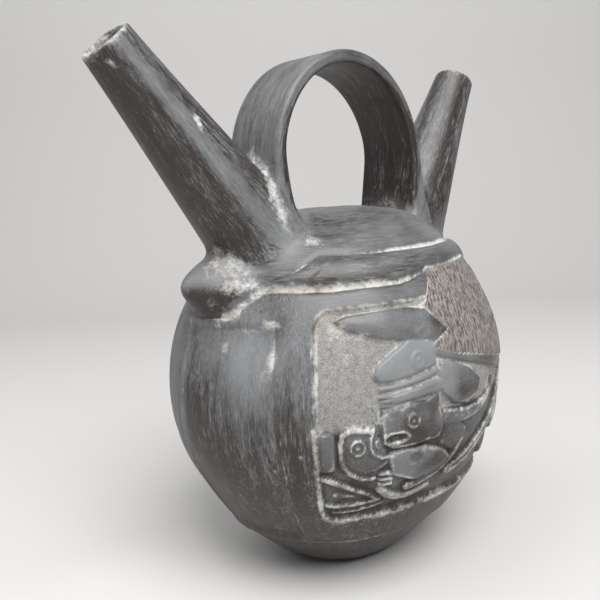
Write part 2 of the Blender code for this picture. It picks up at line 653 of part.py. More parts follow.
def join(thing, other, operation):
    """Adds or cuts away another solid, which stays as a guide that isn't part of the bottle."""
    step = thing.modifiers.new(operation.lower() + "_" + other.name, "BOOLEAN")
    step.operation = operation
    step.solver = "EXACT"
    step.object = other
    other.hide_render = True
    other.display_type = "WIRE"


def settled_mesh(thing):
    """The mesh of an object with its modifiers worked in."""
    bpy.context.view_layer.update()
    seen = thing.evaluated_get(bpy.context.evaluated_depsgraph_get())
    return bpy.data.meshes.new_from_object(seen)


def tidy_seams(mesh, shortest):
    """Triangles throughout, with the short edges that the joining leaves drawn together.

    A face with many sides gets a point in its middle first, so that no two of them share
    a new edge. An edge is drawn together only where its two ends share just two neighbours, so that
    the skin stays closed.
    """
    work = bmesh.new()
    work.from_mesh(mesh)
    bmesh.ops.poke(work, faces=[face for face in work.faces if len(face.verts) > 4])
    bmesh.ops.triangulate(work, faces=work.faces)
    for _ in range(3):
        short = [edge for edge in work.edges if edge.calc_length() < shortest]
        touched = set()
        chosen = []
        for edge in sorted(short, key=lambda e: (round(e.calc_length(), 9), e.index)):
            ends = [{link.other_vert(vert) for link in vert.link_edges} for vert in edge.verts]
            if len(ends[0] & ends[1]) != 2 or (ends[0] | ends[1]) & touched:
                continue
            touched |= ends[0] | ends[1]
            chosen.append(edge)
        bmesh.ops.collapse(work, edges=chosen)
    bmesh.ops.recalc_face_normals(work, faces=work.faces)
    work.to_mesh(mesh)
    work.free()


def smooth_joins(mesh, rounds=8):
    """Draws the points near the joins onto the surface with its fillets, evenly spaced.

    Near is within JOIN_REACH fillets of both of the parts that meet.
    """
    count = len(mesh.vertices)
    points = np.empty(count * 3)
    mesh.vertices.foreach_get("co", points)
    points = points.reshape(-1, 3)
    edges = np.empty(len(mesh.edges) * 2, dtype=np.int64)
    mesh.edges.foreach_get("vertices", edges)
    edges = edges.reshape(-1, 2)
    degree = np.bincount(edges.ravel(), minlength=count)
    near = np.nonzero(bottle_distance(points)[1] < JOIN_REACH)[0]
    for _ in range(rounds):
        total = np.zeros_like(points)
        np.add.at(total, edges[:, 0], points[edges[:, 1]])
        np.add.at(total, edges[:, 1], points[edges[:, 0]])
        points[near] += 0.5 * (total[near] / degree[near, None] - points[near])
        points[near] = onto_surface(points[near])
    mesh.vertices.foreach_set("co", points.ravel())
    mesh.update()


def onto_surface(points, probe=2e-5):
    """Moves points along the distance's slope until they lie on the bottle's surface."""
    here = bottle_distance(points)[0]
    slope = np.empty_like(points)
    for axis in range(3):
        shift = np.zeros(3)
        shift[axis] = probe
        slope[:, axis] = (bottle_distance(points + shift)[0] - here) / probe
    size = np.maximum((slope ** 2).sum(axis=1), 0.2)
    return points - (here / size)[:, None] * slope


def burnished_clay():
    """Dark fired clay, polished before firing."""
    material = bpy.data.materials.new("burnished_black_clay")
    material.use_nodes = True
    shader = material.node_tree.nodes["Principled BSDF"]
    shader.inputs["Base Color"].default_value = (0.045, 0.043, 0.041, 1.0)
    shader.inputs["Roughness"].default_value = 0.42
    shader.inputs["Metallic"].default_value = 0.0
    return material


def keep_relief(bottle):
    """Marks how readily each part of the skin gives up its faces: the front least."""
    group = bottle.vertex_groups.new(name="plain")
    count = len(bottle.data.vertices)
    points = np.empty(count * 3)
    bottle.data.vertices.foreach_get("co", points)
    x, y, z = points.reshape(-1, 3).T
    turn = np.degrees(np.arctan2(x / BODY_HALF_WIDTH, -y / BODY_HALF_DEPTH))
    low = BODY_CENTRE_HEIGHT + BODY_HALF_HEIGHT * math.sin(math.radians(PANEL_BOTTOM_RISE))
    high = BODY_CENTRE_HEIGHT + BODY_HALF_HEIGHT * math.sin(math.radians(SHOULDER_LOW_RISE))
    panel = (np.abs(turn) < PANEL_HALF_TURN) & (z > low) & (z < high)
    group.add(np.nonzero(panel)[0].tolist(), 0.5, "REPLACE")
    group.add(np.nonzero(~panel)[0].tolist(), 1.0, "REPLACE")


def build_bottle():
    """Joins the parts, smooths the joins and cuts the hollow."""
    body = make_body()
    left, right = spouts()
    for other in (make_spout("left_spout", left), make_spout("right_spout", right),
                  make_lug("left_lug", -1.0), make_lug("right_lug", 1.0), make_handle()):
        join(body, other, "UNION")
    mesh = settled_mesh(body)
    mesh.name = "bottle"
    tidy_seams(mesh, 0.0007)
    smooth_joins(mesh)
    body.hide_render = True
    body.display_type = "WIRE"
    bottle = bpy.data.objects.new("bottle", mesh)
    bpy.context.collection.objects.link(bottle)
    bottle.data.materials.clear()
    bottle.data.materials.append(burnished_clay())
    keep_relief(bottle)
    thin = bottle.modifiers.new("fewer_faces", "DECIMATE")
    thin.ratio = FACE_SHARE
    thin.vertex_group = "plain"
    thin.vertex_group_factor = RELIEF_CARE
    join(bottle, make_hollow(), "DIFFERENCE")
    join(bottle, make_base_cutter(), "DIFFERENCE")
    for polygon in bottle.data.polygons:
        polygon.use_smooth = True
    return bottle


def main():
    """Clears the scene and builds the bottle."""
    for thing in list(bpy.data.objects):
        bpy.data.objects.remove(thing)
    build_bottle()


main()
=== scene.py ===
"""Double-spout bottle of burnished blackware: fine relief, worn finish and a pale stage.

A place on the body is given by its turn, from the middle of the front towards +X, and
its rise above the body's widest ring, both in degrees. Lengths are in metres.
"""

import json
import math

import bmesh
import bpy
import numpy as np
from mathutils import Matrix, Vector

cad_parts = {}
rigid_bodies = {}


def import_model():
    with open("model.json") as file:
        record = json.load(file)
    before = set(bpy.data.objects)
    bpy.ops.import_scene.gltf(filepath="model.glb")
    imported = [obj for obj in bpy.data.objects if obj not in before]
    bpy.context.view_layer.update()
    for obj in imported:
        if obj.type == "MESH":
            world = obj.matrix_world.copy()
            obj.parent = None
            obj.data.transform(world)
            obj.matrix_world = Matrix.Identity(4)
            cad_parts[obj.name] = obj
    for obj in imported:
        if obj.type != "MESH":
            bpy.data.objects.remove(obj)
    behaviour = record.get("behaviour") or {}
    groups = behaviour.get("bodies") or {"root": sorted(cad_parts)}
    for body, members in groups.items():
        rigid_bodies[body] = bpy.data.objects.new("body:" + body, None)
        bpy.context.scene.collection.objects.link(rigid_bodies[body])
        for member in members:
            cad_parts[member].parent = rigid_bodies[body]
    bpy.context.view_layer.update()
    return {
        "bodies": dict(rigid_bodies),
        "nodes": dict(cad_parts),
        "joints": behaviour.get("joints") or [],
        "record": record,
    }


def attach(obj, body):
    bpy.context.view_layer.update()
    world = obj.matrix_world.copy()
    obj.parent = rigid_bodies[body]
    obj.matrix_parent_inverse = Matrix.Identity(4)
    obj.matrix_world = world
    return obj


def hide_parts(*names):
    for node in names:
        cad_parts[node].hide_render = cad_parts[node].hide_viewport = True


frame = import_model()

# Camera: the photo's angle, and the point the lights look at
CAMERA_PLACE = (-0.1964, -0.1951, 0.1492)
CAMERA_YAW = -0.7352
CAMERA_PITCH = 0.16545
CAMERA_ROLL = -0.05151
CAMERA_LENS = 41.24
CAMERA_SENSOR = 36
LIGHT_AIM = Vector((0, 0, 0.09))

# Body: an ellipsoid that stands on a small flat base
BODY_HALF_WIDTH = 0.0718
BODY_HALF_DEPTH = 0.0605
BODY_HALF_HEIGHT = 0.0725
BODY_CENTRE = BODY_HALF_HEIGHT - 0.0008
BODY_TOP = BODY_CENTRE + BODY_HALF_HEIGHT
BASE_RADIUS = 0.02
BASE_THICKNESS = 0.007
BASE_ROUND = 0.0016
BASE_CUT = 0.0006
BODY_WALL = 0.0052
DOME_DROP = 0.005
LOWER_TAPER = 0.0022

# Shoulder: a soft roll between two grooves, drawn together at the lugs
SHOULDER_ROLL = 0.0019
SHOULDER_GROOVE = 0.0009
SHOULDER_LOW = 36.8
SHOULDER_HIGH = 47.8

# Frame round each panel, and the plain facets between the frames
FRAME_PROUD = 0.0008
PANEL_DEPTH = 0.0012
FACET_DEPTH = 0.0004
PANEL_HALF_TURN = 47.5
PANEL_TOP = 30.2
PANEL_BOTTOM = -31.5
PANEL_CORNER = 5
STILE_TURN = 10.5
FRAME_FOOT = -45.5
SEAM_TURN = 100
SEAM_RIDGE = 0.0006

# Relief on the panel
FIGURE_HEIGHT = 0.002
PELT_PROUD = 0.0008

# Spouts: tapered tubes on roots inside the body, the left one leaning further out
SPOUT_LENGTH = 0.0974
SPOUT_MOUTH_RADIUS = 0.0089
SPOUT_ROOT_RADIUS = 0.0195
SPOUT_SWELL = 1.205
LIP_WALL = 0.0025
SPOUT_WALL = 0.0042
SPOUT_FILLET = 0.007

# Each spout's side, its root's X and Z, and its lean in degrees
LEFT_SPOUT = (-1, -0.0304, BODY_TOP - 0.0241, 40)
RIGHT_SPOUT = (1, 0.0344, BODY_TOP - 0.0346, 30.4)

# Handle: a flat strap bent to an arch, its feet set in the roots of the spouts
HANDLE_HALF_SPAN = 0.0372
HANDLE_SPRING = BODY_TOP + 0.0121
HANDLE_RISE = 0.0394
HANDLE_LEG = 0.03
HANDLE_WIDTH = 0.0278
HANDLE_THICKNESS = 0.0046
HANDLE_ROUND = 0.0017
HANDLE_FLARE = 0.0022
HANDLE_FILLET = 0.0045

# Lugs: blunt noses at the ends of the shoulder
LUG_REACH = BODY_HALF_WIDTH + 0.001
LUG_HEIGHT = BODY_CENTRE + 0.0455
LUG_NOSE = 0.0145
LUG_BLUNTNESS = 0.62
LUG_LENGTH = 0.0225
LUG_DROP = 0.003
LUG_ROOT_RADIUS = 0.0125
LUG_FILLET = 0.005
FILLETS = (SPOUT_FILLET, SPOUT_FILLET, LUG_FILLET, LUG_FILLET, HANDLE_FILLET)

# Fine finish of the clay
UNEVEN = 0.00022
STROKE_DEPTH = 0.0003
MOUTH_WEAR = 0.0003
STROKE_PULL = 0.09
LIP_ROUND = 0.3 * LIP_WALL
MOUTH_WEAR_REACH = 0.004

# Polish with painted light on the strap's outer face, the lugs' tops and the spouts' feet;
# the strap's inner face and the lugs' undersides get painted shade
STRAP_POLISH_AND_LIGHT = 0.49
LUG_TOP_POLISH_AND_LIGHT = 0.56
FOOT_POLISH_AND_LIGHT = 0.55

# Where pale earth gathers round the joins and the mouths: its share and its reach
HANDLE_FOOT_EARTH = (0.55, 0.003)
LUG_FOOT_EARTH = (0.5, 0.0026)
LIP_EARTH = (0.72, 0.0018)
MOUTH_EARTH = (0.45, 0.005)
BORE_EARTH = (0.5, 0.01)

# How far below its surroundings the relief takes the most earth and painted shade, and how far above
# them the most wear and painted highlight
RECESS_DEPTH = 0.0005
RIDGE_HEIGHT = 0.00016

# How polished each figure is, in the order of FIGURES
FIGURE_TONES = (0.55, 0.98, 0.6, 1, 0.64, 0.74, 0.66)

# Angles round the left and the right spout where a highlight streak is painted, in degrees
SPOUT_HIGHLIGHT_ANGLES = (97, 153)

# Pale earth on the body: turn, rise, half width, half height, share
BODY_PATCHES = (
    (-61.5, 26.8, 4, 1.8, 0.95), (-71, 25.4, 7, 1.4, 0.72), (-82, 26.5, 4, 2.4, 0.62),
    (-60.3, 19, 1.3, 7, 0.78), (-59.8, 6, 1, 5, 0.5), (-64, 12.5, 1.6, 4, 0.4),
    (-91, 29.5, 4, 3, 0.55), (-78, 20, 2, 3, 0.5), (-101, 24.5, 2, 4, 0.6),
    (-41.5, 25, 4.5, 3, 0.85), (-34, 22.8, 6.5, 1.6, 0.75), (-35, 18, 11, 5.5, 0.36),
    (-73.4, -5.4, 0.7, 1.6, 0.95), (-52.4, -7.5, 0.8, 0.9, 1), (-61.1, -12.6, 0.7, 1.2, 0.7),
    (-80, 8, 1.2, 3.5, 0.5), (-98, 2, 1, 14, 0.42), (70, 22, 6, 3, 0.6), (96, 12, 3, 9, 0.5),
    (118, 24, 5, 2.5, 0.6), (-128, 20, 5, 3, 0.55), (165, 26, 7, 2, 0.6), (-150, -10, 2, 5, 0.45),
)

# Grey polish and painted highlights on the body: turn, rise, half width, half height, share
POLISH_AND_HIGHLIGHT_PATCHES = (
    (-70, 17, 12, 10, 0.5), (-86, 17, 9, 9, 0.34), (-53, 22, 4, 12, 0.25), (-62, -24, 2.2, 9, 0.25),
    (-99, 0, 2, 24, 0.45), (66, 16, 10, 10, 0.3), (128, 14, 14, 10, 0.25), (-130, 16, 12, 12, 0.25),
    (99, 0, 2, 24, 0.45),
)

# Brown-black tone and painted shade on the body: turn, rise, half width, half height, share
DARK_TONE_AND_SHADE_PATCHES = (
    (-3.5, 24, 5, 5, 0.5), (-12, 29, 6, 2, 0.25), (3, 4.5, 6.5, 5, 0.75), (-19, -6, 9, 2.2, 0.3),
    (-10, -15.5, 6, 3, 0.4), (-54, -12, 2.4, 22, 0.32), (-53, 14, 4, 12, 0.12),
    (10, 9, 22, 3, 0.25), (-80, -20, 8, 16, 0.12), (-53, 64, 26, 12, 0.16),
    (54, -12, 2.4, 20, 0.25), (-30, 40, 40, 4.5, 0.16),
)

# Streaks of pale earth on the other parts: start, end and reach in millimetres, share
TRAILS = (
    ((-61.2, -6, 124.5), (-57, -11.5, 120.5), 6.8, 0.72),
    ((-61, -11.2, 116.8), (-54, -15, 117.8), 4.2, 0.86),
    ((-60, -15, 112), (-62, -14, 106), 3.2, 0.6), ((-60, -1.8, 129), (-57.5, -6, 127.5), 3, 0.62),
    ((-66.4, -6.2, 111.1), (-64, -9, 109.5), 4, 0.52),
    ((-96.5, -5.6, 188.8), (-95.7, -6.2, 187.8), 1.6, 0.62),
    ((-94.8, -6.9, 187.2), (-93.8, -7.5, 185.8), 1.4, 0.6),
    ((-40, 0, 161.5), (-41.8, -8, 155), 3.6, 0.64),
    ((-41.8, -8, 155), (-42.8, -14.5, 146.5), 3.6, 0.68),
    ((-42.8, -14.8, 146), (-40.4, -17.8, 134.5), 2.8, 0.78),
    ((-33, -20.8, 131.2), (-27, -25, 128.8), 1.6, 0.55),
    ((-69.9, -11.4, 172.2), (-69, -11.7, 169.8), 1, 1.25),
    ((-68.7, -11.8, 169), (-68.2, -12.1, 167.4), 0.7, 1.1),
    ((-34.5, -22.2, 129.9), (-32.5, -23.5, 129.6), 2.2, 0.75),
    ((60, -8, 123.5), (57, -12, 119), 4.5, 0.58), ((40, 16, 150), (40, 17.5, 138), 2.8, 0.75),
    ((-42.5, 14, 148), (-40.4, 17.8, 135), 2.6, 0.75),
)

# Fineness of the surface
PANEL_STEP = 0.45
PANEL_FAR_STEP = 0.6
PANEL_NEAR_TURN = 14
PANEL_RISE_STEP = 0.48
FRAME_RISE_STEP = 0.8
FRAME_STEP = 0.9
SIDE_STEP = 2.4
BACK_STEP = 2
SEAM_STEP = 0.8
SHOULDER_STEP = 0.6
PLAIN_STEP = 2.3
TUBE_SIDES = 64
TUBE_STEPS = 64
LUG_SIDES = 56
LUG_STEPS = 22
HANDLE_STEPS = 120
LIP_STEPS = 6
BORE_SIDES = 46
BORE_STEPS = 28
HOLLOW_SIDES = 60
HOLLOW_STEPS = 30
SHORTEST_EDGE = 0.00035
SEAM_ROUNDS = 3
JOIN_REACH = 2
JOIN_ROUNDS = 10
SLOPE_PROBE = 2e-5

# The map of the front's relief, in degrees, and how near the skin a point counts as outside
MAP_STEP = 0.25
MAP_LEFT, MAP_RIGHT = -60, 60
MAP_LOW, MAP_HIGH = -48, 52
MAP_MARGIN = 2
SKIN_REACH = 0.0014

BODY_HALVES = np.array([BODY_HALF_WIDTH, BODY_HALF_DEPTH, BODY_HALF_HEIGHT])
BODY_MIDDLE = np.array([0, 0, BODY_CENTRE])


def fade(x, low, high):
    """Goes from 0 at low to 1 at high, level at both ends."""
    t = np.clip((x - low) / (high - low), 0, 1)
    return t * t * (3 - 2 * t)


def bell(x, middle, spread):
    """A bell curve of height 1 at the middle."""
    return np.exp(-((x - middle) / spread) ** 2)


def smooth_least(a, b, fillet):
    """The lesser of a and b, rounded where they are within one fillet of each other."""
    h = np.clip(fillet - np.abs(a - b), 0, None) / fillet
    return np.minimum(a, b) - h * h * fillet * 0.25


def rectangle(u, v, left, right, low, high, corner):
    """Distance to a rectangle with round corners, negative inside."""
    across = np.abs(u - 0.5 * (left + right)) - 0.5 * (right - left) + corner
    along = np.abs(v - 0.5 * (low + high)) - 0.5 * (high - low) + corner
    outside = np.hypot(np.maximum(across, 0), np.maximum(along, 0))
    return outside + np.minimum(np.maximum(across, along), 0) - corner


def limb(u, v, start, end, start_radius=0, end_radius=0):
    """Distance to a straight limb with round ends that tapers along its length."""
    du, dv = end[0] - start[0], end[1] - start[1]
    u, v = u - start[0], v - start[1]
    share = np.clip((u * du + v * dv) / (du * du + dv * dv), 0, 1)
    return np.hypot(u - share * du, v - share * dv) - start_radius - share * (end_radius - start_radius)


def nearest(u, v, limbs):
    """Distance to the nearest of some limbs: start, end, start radius and end radius of each."""
    return np.minimum.reduce([limb(u, v, *each) for each in limbs])


def bent_limb(u, v, start, middle, end, start_radius=0, end_radius=0, pieces=8):
    """Distance to a limb bent along a parabola that passes through its middle point."""
    start, middle, end = np.array(start), np.array(middle), np.array(end)
    t = np.linspace(0, 1, pieces + 1)[:, None]
    pull = 2 * middle - 0.5 * (start + end)
    path = (1 - t) ** 2 * start + 2 * t * (1 - t) * pull + t ** 2 * end
    radii = start_radius + t[:, 0] * (end_radius - start_radius)
    return nearest(u, v, zip(path, path[1:], radii, radii[1:]))


def oval(u, v, middle, half_length, half_width, tilt=0):
    """Distance to an ellipse, near enough for a soft edge."""
    c, s = math.cos(math.radians(tilt)), math.sin(math.radians(tilt))
    u, v = u - middle[0], v - middle[1]
    size = np.hypot((u * c + v * s) / half_length, (v * c - u * s) / half_width)
    return (size - 1) * min(half_length, half_width)


def cut_out(u, v, corners, round_off=0):
    """Distance to a shape with straight sides, negative inside."""
    away = np.full(np.shape(u), 1e9)
    inside = np.zeros(np.shape(u), dtype=bool)
    for (au, av), (bu, bv) in zip(corners, corners[1:] + corners[:1]):
        away = np.minimum(away, limb(u, v, (au, av), (bu, bv)))
        crosses = (av > v) != (bv > v)
        rise = np.where(crosses, bv - av, 1)
        inside ^= crosses & (u < (bu - au) * (v - av) / rise + au)
    return np.where(inside, -away, away) - round_off


def ring(u, v, middle, radius, height, line=0.8):
    """A raised ring with a raised dot in its middle, as for an eye."""
    away = np.hypot(u - middle[0], v - middle[1])
    return height * (bell(away, radius, line) + bell(away, 0, 0.45 * radius))


def pillow(distance, height, edge=0.8):
    """A raised form: its side rises over one edge width, its top swells to its middle."""
    return height * (0.78 * fade(distance, 0.5 * edge, -0.5 * edge) + 0.22 * fade(-distance, 0, 3.2))


def sweep(u, v, start, middle, end, start_radius, end_radius, height):
    """A raised bent limb."""
    return pillow(bent_limb(u, v, start, middle, end, start_radius, end_radius), height)


def block(u, v, corners, height, round_off=0.2):
    """A raised form with straight sides."""
    return pillow(cut_out(u, v, corners, round_off), height)


def strokes(u, v, start, step, reach, count, radius):
    """Distance to a row of short strokes, each one step from the last."""
    roots = [np.array(start) + i * np.array(step) for i in range(count)]
    return nearest(u, v, [(root, root + reach, radius, 0.7 * radius) for root in roots])


def band(u, v, path, radius):
    """Distance to a band of even width along straight pieces."""
    return nearest(u, v, [(a, b, radius, radius) for a, b in zip(path, path[1:])])


def crest(u, v):
    """The wedge-shaped headdress over the upper animal, with two ear strokes."""
    outline = [(-41.6, 27.2), (-37.6, 28.5), (-27.2, 29), (-16.8, 29.1), (-10, 27.8),
               (-2.7, 21), (-9.3, 18.4), (-18.4, 20.2), (-28.5, 22.1), (-36.6, 24.5)]
    ears = np.minimum(band(u, v, [(-15.1, 21.7), (-12.2, 22.9)], 0.35),
                      band(u, v, [(-12.4, 19.9), (-9.1, 21)], 0.35))
    neck = limb(u, v, (-17.6, 20.4), (-9.4, 18.7))
    return block(u, v, outline, 0.85) + pillow(ears, 0.2, 0.5) - 0.22 * bell(neck, 0, 0.7)


def upper_animal(u, v):
    """Head with open jaws, a forelimb with claws, and a round haunch."""
    head = [(-18.4, 20.2), (-23.9, 17.5), (-29.3, 14.3), (-30.2, 12.2), (-28.7, 10.6),
            (-24.7, 10.4), (-19.6, 10.8), (-13.8, 11.9), (-9.6, 12.6), (-9.2, 18.5)]
    haunch = [(-7.5, 12.6), (-3, 11.6), (4.5, 8.2), (8.7, 4.6), (7.2, 0.9),
              (1.6, -0.6), (-3.8, 0.8), (-8.1, 4.3), (-8.8, 8.8)]
    fingers = strokes(u, v, (-25.4, 6.2), (0.05, -1.2), (-3.4, 0.2), 4, 0.5)
    fold = strokes(u, v, (-7.4, 11), (1.6, -1.5), (6, -2.4), 3, 0)
    forms = [
        block(u, v, head, 0.95),
        sweep(u, v, (-28.6, 8.4), (-20, 8.9), (-9.4, 10.6), 0.6, 0.9, 0.7),
        pillow(limb(u, v, (-9.4, 6.7), (-24.6, 5.2), 1.7, 1.2), 0.9),
        pillow(fingers, 0.85, 0.5),
        block(u, v, haunch, 1, 0.3) - 0.1 * bell(fold, 0, 0.4),
    ]
    return np.maximum.reduce(forms) + ring(u, v, (-16.3, 14.5), 2, 0.3, 0.45)


def tail_bands(u, v):
    """Bands that sweep back from the animals to the right edge of the panel."""
    forms = [
        sweep(u, v, (-8, 15.6), (8, 10.9), (38, 2.6), 1.2, 2.3, 0.8),
        sweep(u, v, (-7.7, -2.4), (2, -4), (9.4, -3.5), 2.3, 1.9, 0.8),
        sweep(u, v, (9.4, -3.5), (14.4, -1.3), (17.7, 3), 1.9, 0.4, 0.8),
        sweep(u, v, (-18.7, -22.9), (-6.4, -19.4), (0.5, -11.2), 1.7, 0.9, 0.9),
        sweep(u, v, (-1.6, -21.4), (13, -15.4), (28, -1.5), 2.3, 1.2, 1),
        sweep(u, v, (28, -1.5), (34, 1), (42, -6), 1.5, 0.8, 0.8),
        pillow(oval(u, v, (34, -12.5), 6.8, 4.6, 40), 0.85),
        sweep(u, v, (24, -24), (34, -24.6), (44, -20), 1, 1.6, 0.75),
    ]
    beads = [pillow(oval(u, v, (9.4 + 4.4 * i, -21.6 + 3.3 * i), 2.1, 1.2, 40), 0.7) for i in range(5)]
    spine = bent_limb(u, v, (-0.5, -20.6), (13, -15), (27, -2))
    return np.maximum.reduce(forms + beads) - 0.2 * bell(spine, 0, 0.5)


def middle_animal(u, v):
    """The large head in the middle, with an ear, a toothed mouth and its neck behind."""
    head = [(-28.4, 3.2), (-24.4, 2.6), (-18, 3.4), (-14.6, 3.2), (-10.3, 5), (-8.9, -4.6),
            (-9.7, -7.6), (-19.2, -8.3), (-25.6, -8), (-28.5, -6.2), (-28.8, 0.7)]
    neck = [(-9.2, -0.8), (-1.5, -5.6), (2.3, -8.2), (2.3, -12.4), (-3.1, -13.9), (-8.6, -10.4)]
    mouth = oval(u, v, (-24.7, -5), 3.9, 1.5, 3)
    teeth = strokes(u, v, (-26.6, -5.9), (1.35, 0.15), (-0.3, 1.1), 4, 0.3)
    ear = limb(u, v, (-12.4, 1.2), (-11, 3.4), 0.9, 0.3)
    forms = [
        block(u, v, head, 1) - 0.15 * fade(-ear, -0.4, 0.4),
        block(u, v, neck, 0.6, 0.3),
        sweep(u, v, (-31.5, 3.8), (-30.5, 0.4), (-29.9, -3.4), 0.6, 0.5, 0.4),
    ]
    lips = 0.25 * bell(mouth, 0, 0.4) - 0.5 * fade(-mouth, 0.1, 0.7)
    lips = lips + 0.35 * fade(-teeth, -0.25, 0.25)
    return np.maximum.reduce(forms) + lips + ring(u, v, (-19.4, -1), 1.7, 0.45, 0.42)


def lower_animal(u, v):
    """The crouching body under the middle head, with a paw and a long foot."""
    body = [(-26.8, -10), (-22.5, -9.2), (-14.6, -9.6), (-7.9, -12), (-3.4, -16),
            (-6.5, -19.4), (-16.6, -20.8), (-24.6, -16.8)]
    dent = oval(u, v, (-17.5, -12.4), 2.8, 1.7, -10)
    fingers = strokes(u, v, (-25.6, -15.9), (0.05, -1.8), (-4, 0.5), 3, 0.65)
    forms = [
        block(u, v, body, 0.85, 0.3) - 0.35 * fade(-dent, -0.4, 0.9),
        sweep(u, v, (-28.8, -21.2), (-21, -26.4), (-9.7, -25.6), 1.6, 1.2, 0.75),
        pillow(fingers, 0.95, 0.6),
    ]
    return np.maximum.reduce(forms)


def bird(u, v):
    """The head with a hooked beak at the left of the panel, facing right, in a thick rim."""
    rim = [(-31.6, -2.4), (-34.7, -1.7), (-38.1, -1.5), (-40.3, -2.6), (-40.9, -5),
           (-40.9, -8), (-40.5, -11.3), (-38.5, -14), (-35, -16), (-31.3, -16.2)]
    beak = [(-31.6, -2.6), (-32.2, -4.4), (-32.4, -6.4), (-31.4, -8.7), (-29, -10.2), (-26.6, -10.4)]
    head = rim + [(-28.8, -13.4), (-26.9, -11), (-28.4, -6.4)]
    forms = [
        pillow(rectangle(u, v, -48.5, -42.6, -13.3, -1.8, 1.2), 0.5),
        block(u, v, head, 0.45),
        pillow(band(u, v, rim, 0.85), 1, 0.8),
        pillow(band(u, v, beak, 0.68), 0.95, 0.8),
        sweep(u, v, (-27.4, -11.8), (-30.4, -13.4), (-34, -14.2), 0.8, 0.5, 0.7),
    ]
    nostril = ring(u, v, (-29.8, -6), 1, 0.25, 0.35)
    return np.maximum.reduce(forms) + ring(u, v, (-36, -6.4), 2, 0.42, 0.42) + nostril


def fins(u, v):
    """A fin with three sides and two crescents in the lower left corner."""
    top = band(u, v, [(-47, -14.9), (-40.1, -18.2), (-32.4, -22.4), (-30.2, -24.4)], 0.9)
    bottom = band(u, v, [(-46.4, -25), (-44, -25.8), (-37.5, -26.2), (-29, -25)], 0.78)
    low = bent_limb(u, v, (-44.6, -28.8), (-36.5, -29.4), (-27, -27.6), 0.7, 0.5)
    inner = limb(u, v, (-43, -21.8), (-37.6, -22.8), 1.2, 0.5)
    forms = [pillow(top, 0.9, 0.7), pillow(bottom, 0.85, 0.7), pillow(low, 0.5, 0.7),
             pillow(inner, 0.3)]
    return np.maximum.reduce(forms)


FIGURES = (crest, upper_animal, middle_animal, lower_animal, tail_bands, bird, fins)


def pelt(u, v):
    """Share of the raised pelt block, which breaks into the frame's top band."""
    outline = [(-1.9, 39.4), (-9.8, 28.4), (-2.2, 20.8), (-10.4, 17.3),
               (-2.4, 14.2), (9.2, 11.4), (38.5, 4.8), (39.5, 40)]
    return fade(-cut_out(u, v, outline, 0.2), -0.5, 0.5)


def hair_strokes(u, v):
    """Share of the full depth of the pelt's cut hairs.

    Each hair is a short upright stroke: a wave across the turn, broken along the rise by a
    second wave whose phase jumps from column to column, and bent by a slow sine.
    """
    column = u / 1.55 + 0.28 * np.sin(0.55 * v + 0.31 * u)
    number = np.floor(column)
    across = np.cos(2 * math.pi * (column - 0.5))
    along = np.sin(2 * math.pi * v / 5.2 + 2.4 * number * number)
    return fade(-across, 0.1, 0.9) * fade(along, -0.65, 0.1)


def front_heights(u, v):
    """Height of each figure over the panel's ground, as a share of FIGURE_HEIGHT."""
    return np.stack([figure(u, v) for figure in FIGURES])


def back_relief(u, v):
    """Plainer relief for the back: two scrolls that face each other under a bar."""
    side = np.abs(u)
    scrolls = np.minimum(bent_limb(side, v, (6, -22), (30, -14), (28, 10), 2.4, 2),
                         bent_limb(side, v, (28, 10), (18, 15), (14, 2), 2, 1.4))
    bar = rectangle(side, v, -1, 36, 20.5, 25, 2)
    return np.maximum(0.8 * fade(-scrolls, -0.65, 0.65), 0.7 * fade(-bar, -0.65, 0.65))


def facing(turn, rise):
    """Direction of each turn and rise, as on a round body."""
    t, r = np.broadcast_arrays(np.radians(turn), np.radians(rise))
    return np.stack([np.sin(t) * np.cos(r), -np.cos(t) * np.cos(r), np.sin(r)], axis=-1)


def stretch(turn, rise):
    """Share by which the body grows for one metre of clay added to its surface."""
    return np.linalg.norm(facing(turn, rise) / BODY_HALVES, axis=-1)


def pushed_out(turn, rise, offset):
    """Points of the ellipsoid, each moved outwards by its offset."""
    growth = 1 + offset * stretch(turn, rise)
    return BODY_MIDDLE + growth[..., None] * BODY_HALVES * facing(turn, rise)


def body_place(points):
    """Size of the ellipsoid through each point, as a share, and the point's turn and rise."""
    x, y, z = ((points - BODY_MIDDLE) / BODY_HALVES).T
    out = np.hypot(x, y)
    return np.hypot(out, z), np.degrees(np.arctan2(x, -y)), np.degrees(np.arctan2(z, out))


def from_middle(turn):
    """Turn away from the middle of the front or of the back, whichever is nearer."""
    return np.minimum(np.abs(turn), 180 - np.abs(turn))


def panel_edge(turn, rise):
    """Distance from a panel's edge, negative inside."""
    return rectangle(from_middle(turn), rise, -PANEL_HALF_TURN, PANEL_HALF_TURN,
                     PANEL_BOTTOM, PANEL_TOP, PANEL_CORNER)


def facet_edge(turn, rise):
    """Distance from the edge of the plain facet between two frames, negative inside."""
    return rectangle(from_middle(turn), rise, PANEL_HALF_TURN + STILE_TURN, 110, FRAME_FOOT + 3, 27, 3)


def plain_offset(rise):
    """Clay added to the ellipsoid for the lowered dome, the lean belly and the foot."""
    drop = BODY_CENTRE / BODY_HALF_HEIGHT
    mean = math.sqrt(BODY_HALF_WIDTH * BODY_HALF_DEPTH)
    foot = math.degrees(math.atan2(drop, BASE_RADIUS / mean))
    foot_offset = (drop / math.sin(math.radians(foot)) - 1) / stretch(45, foot)
    dome = DOME_DROP * (np.maximum(rise - 50, 0) / 40) ** 1.5
    return foot_offset * fade(-rise, 52, foot) - dome - LOWER_TAPER * bell(rise, -36, 20)


def floor_offset(turn, rise, floor):
    """Clay that would bring the surface down to a level floor, far away for what faces up."""
    drop = (BODY_CENTRE - floor) / BODY_HALF_HEIGHT
    sine = np.maximum(-np.sin(np.radians(rise)), 0.2)
    return (drop / sine - 1) / stretch(turn, rise)


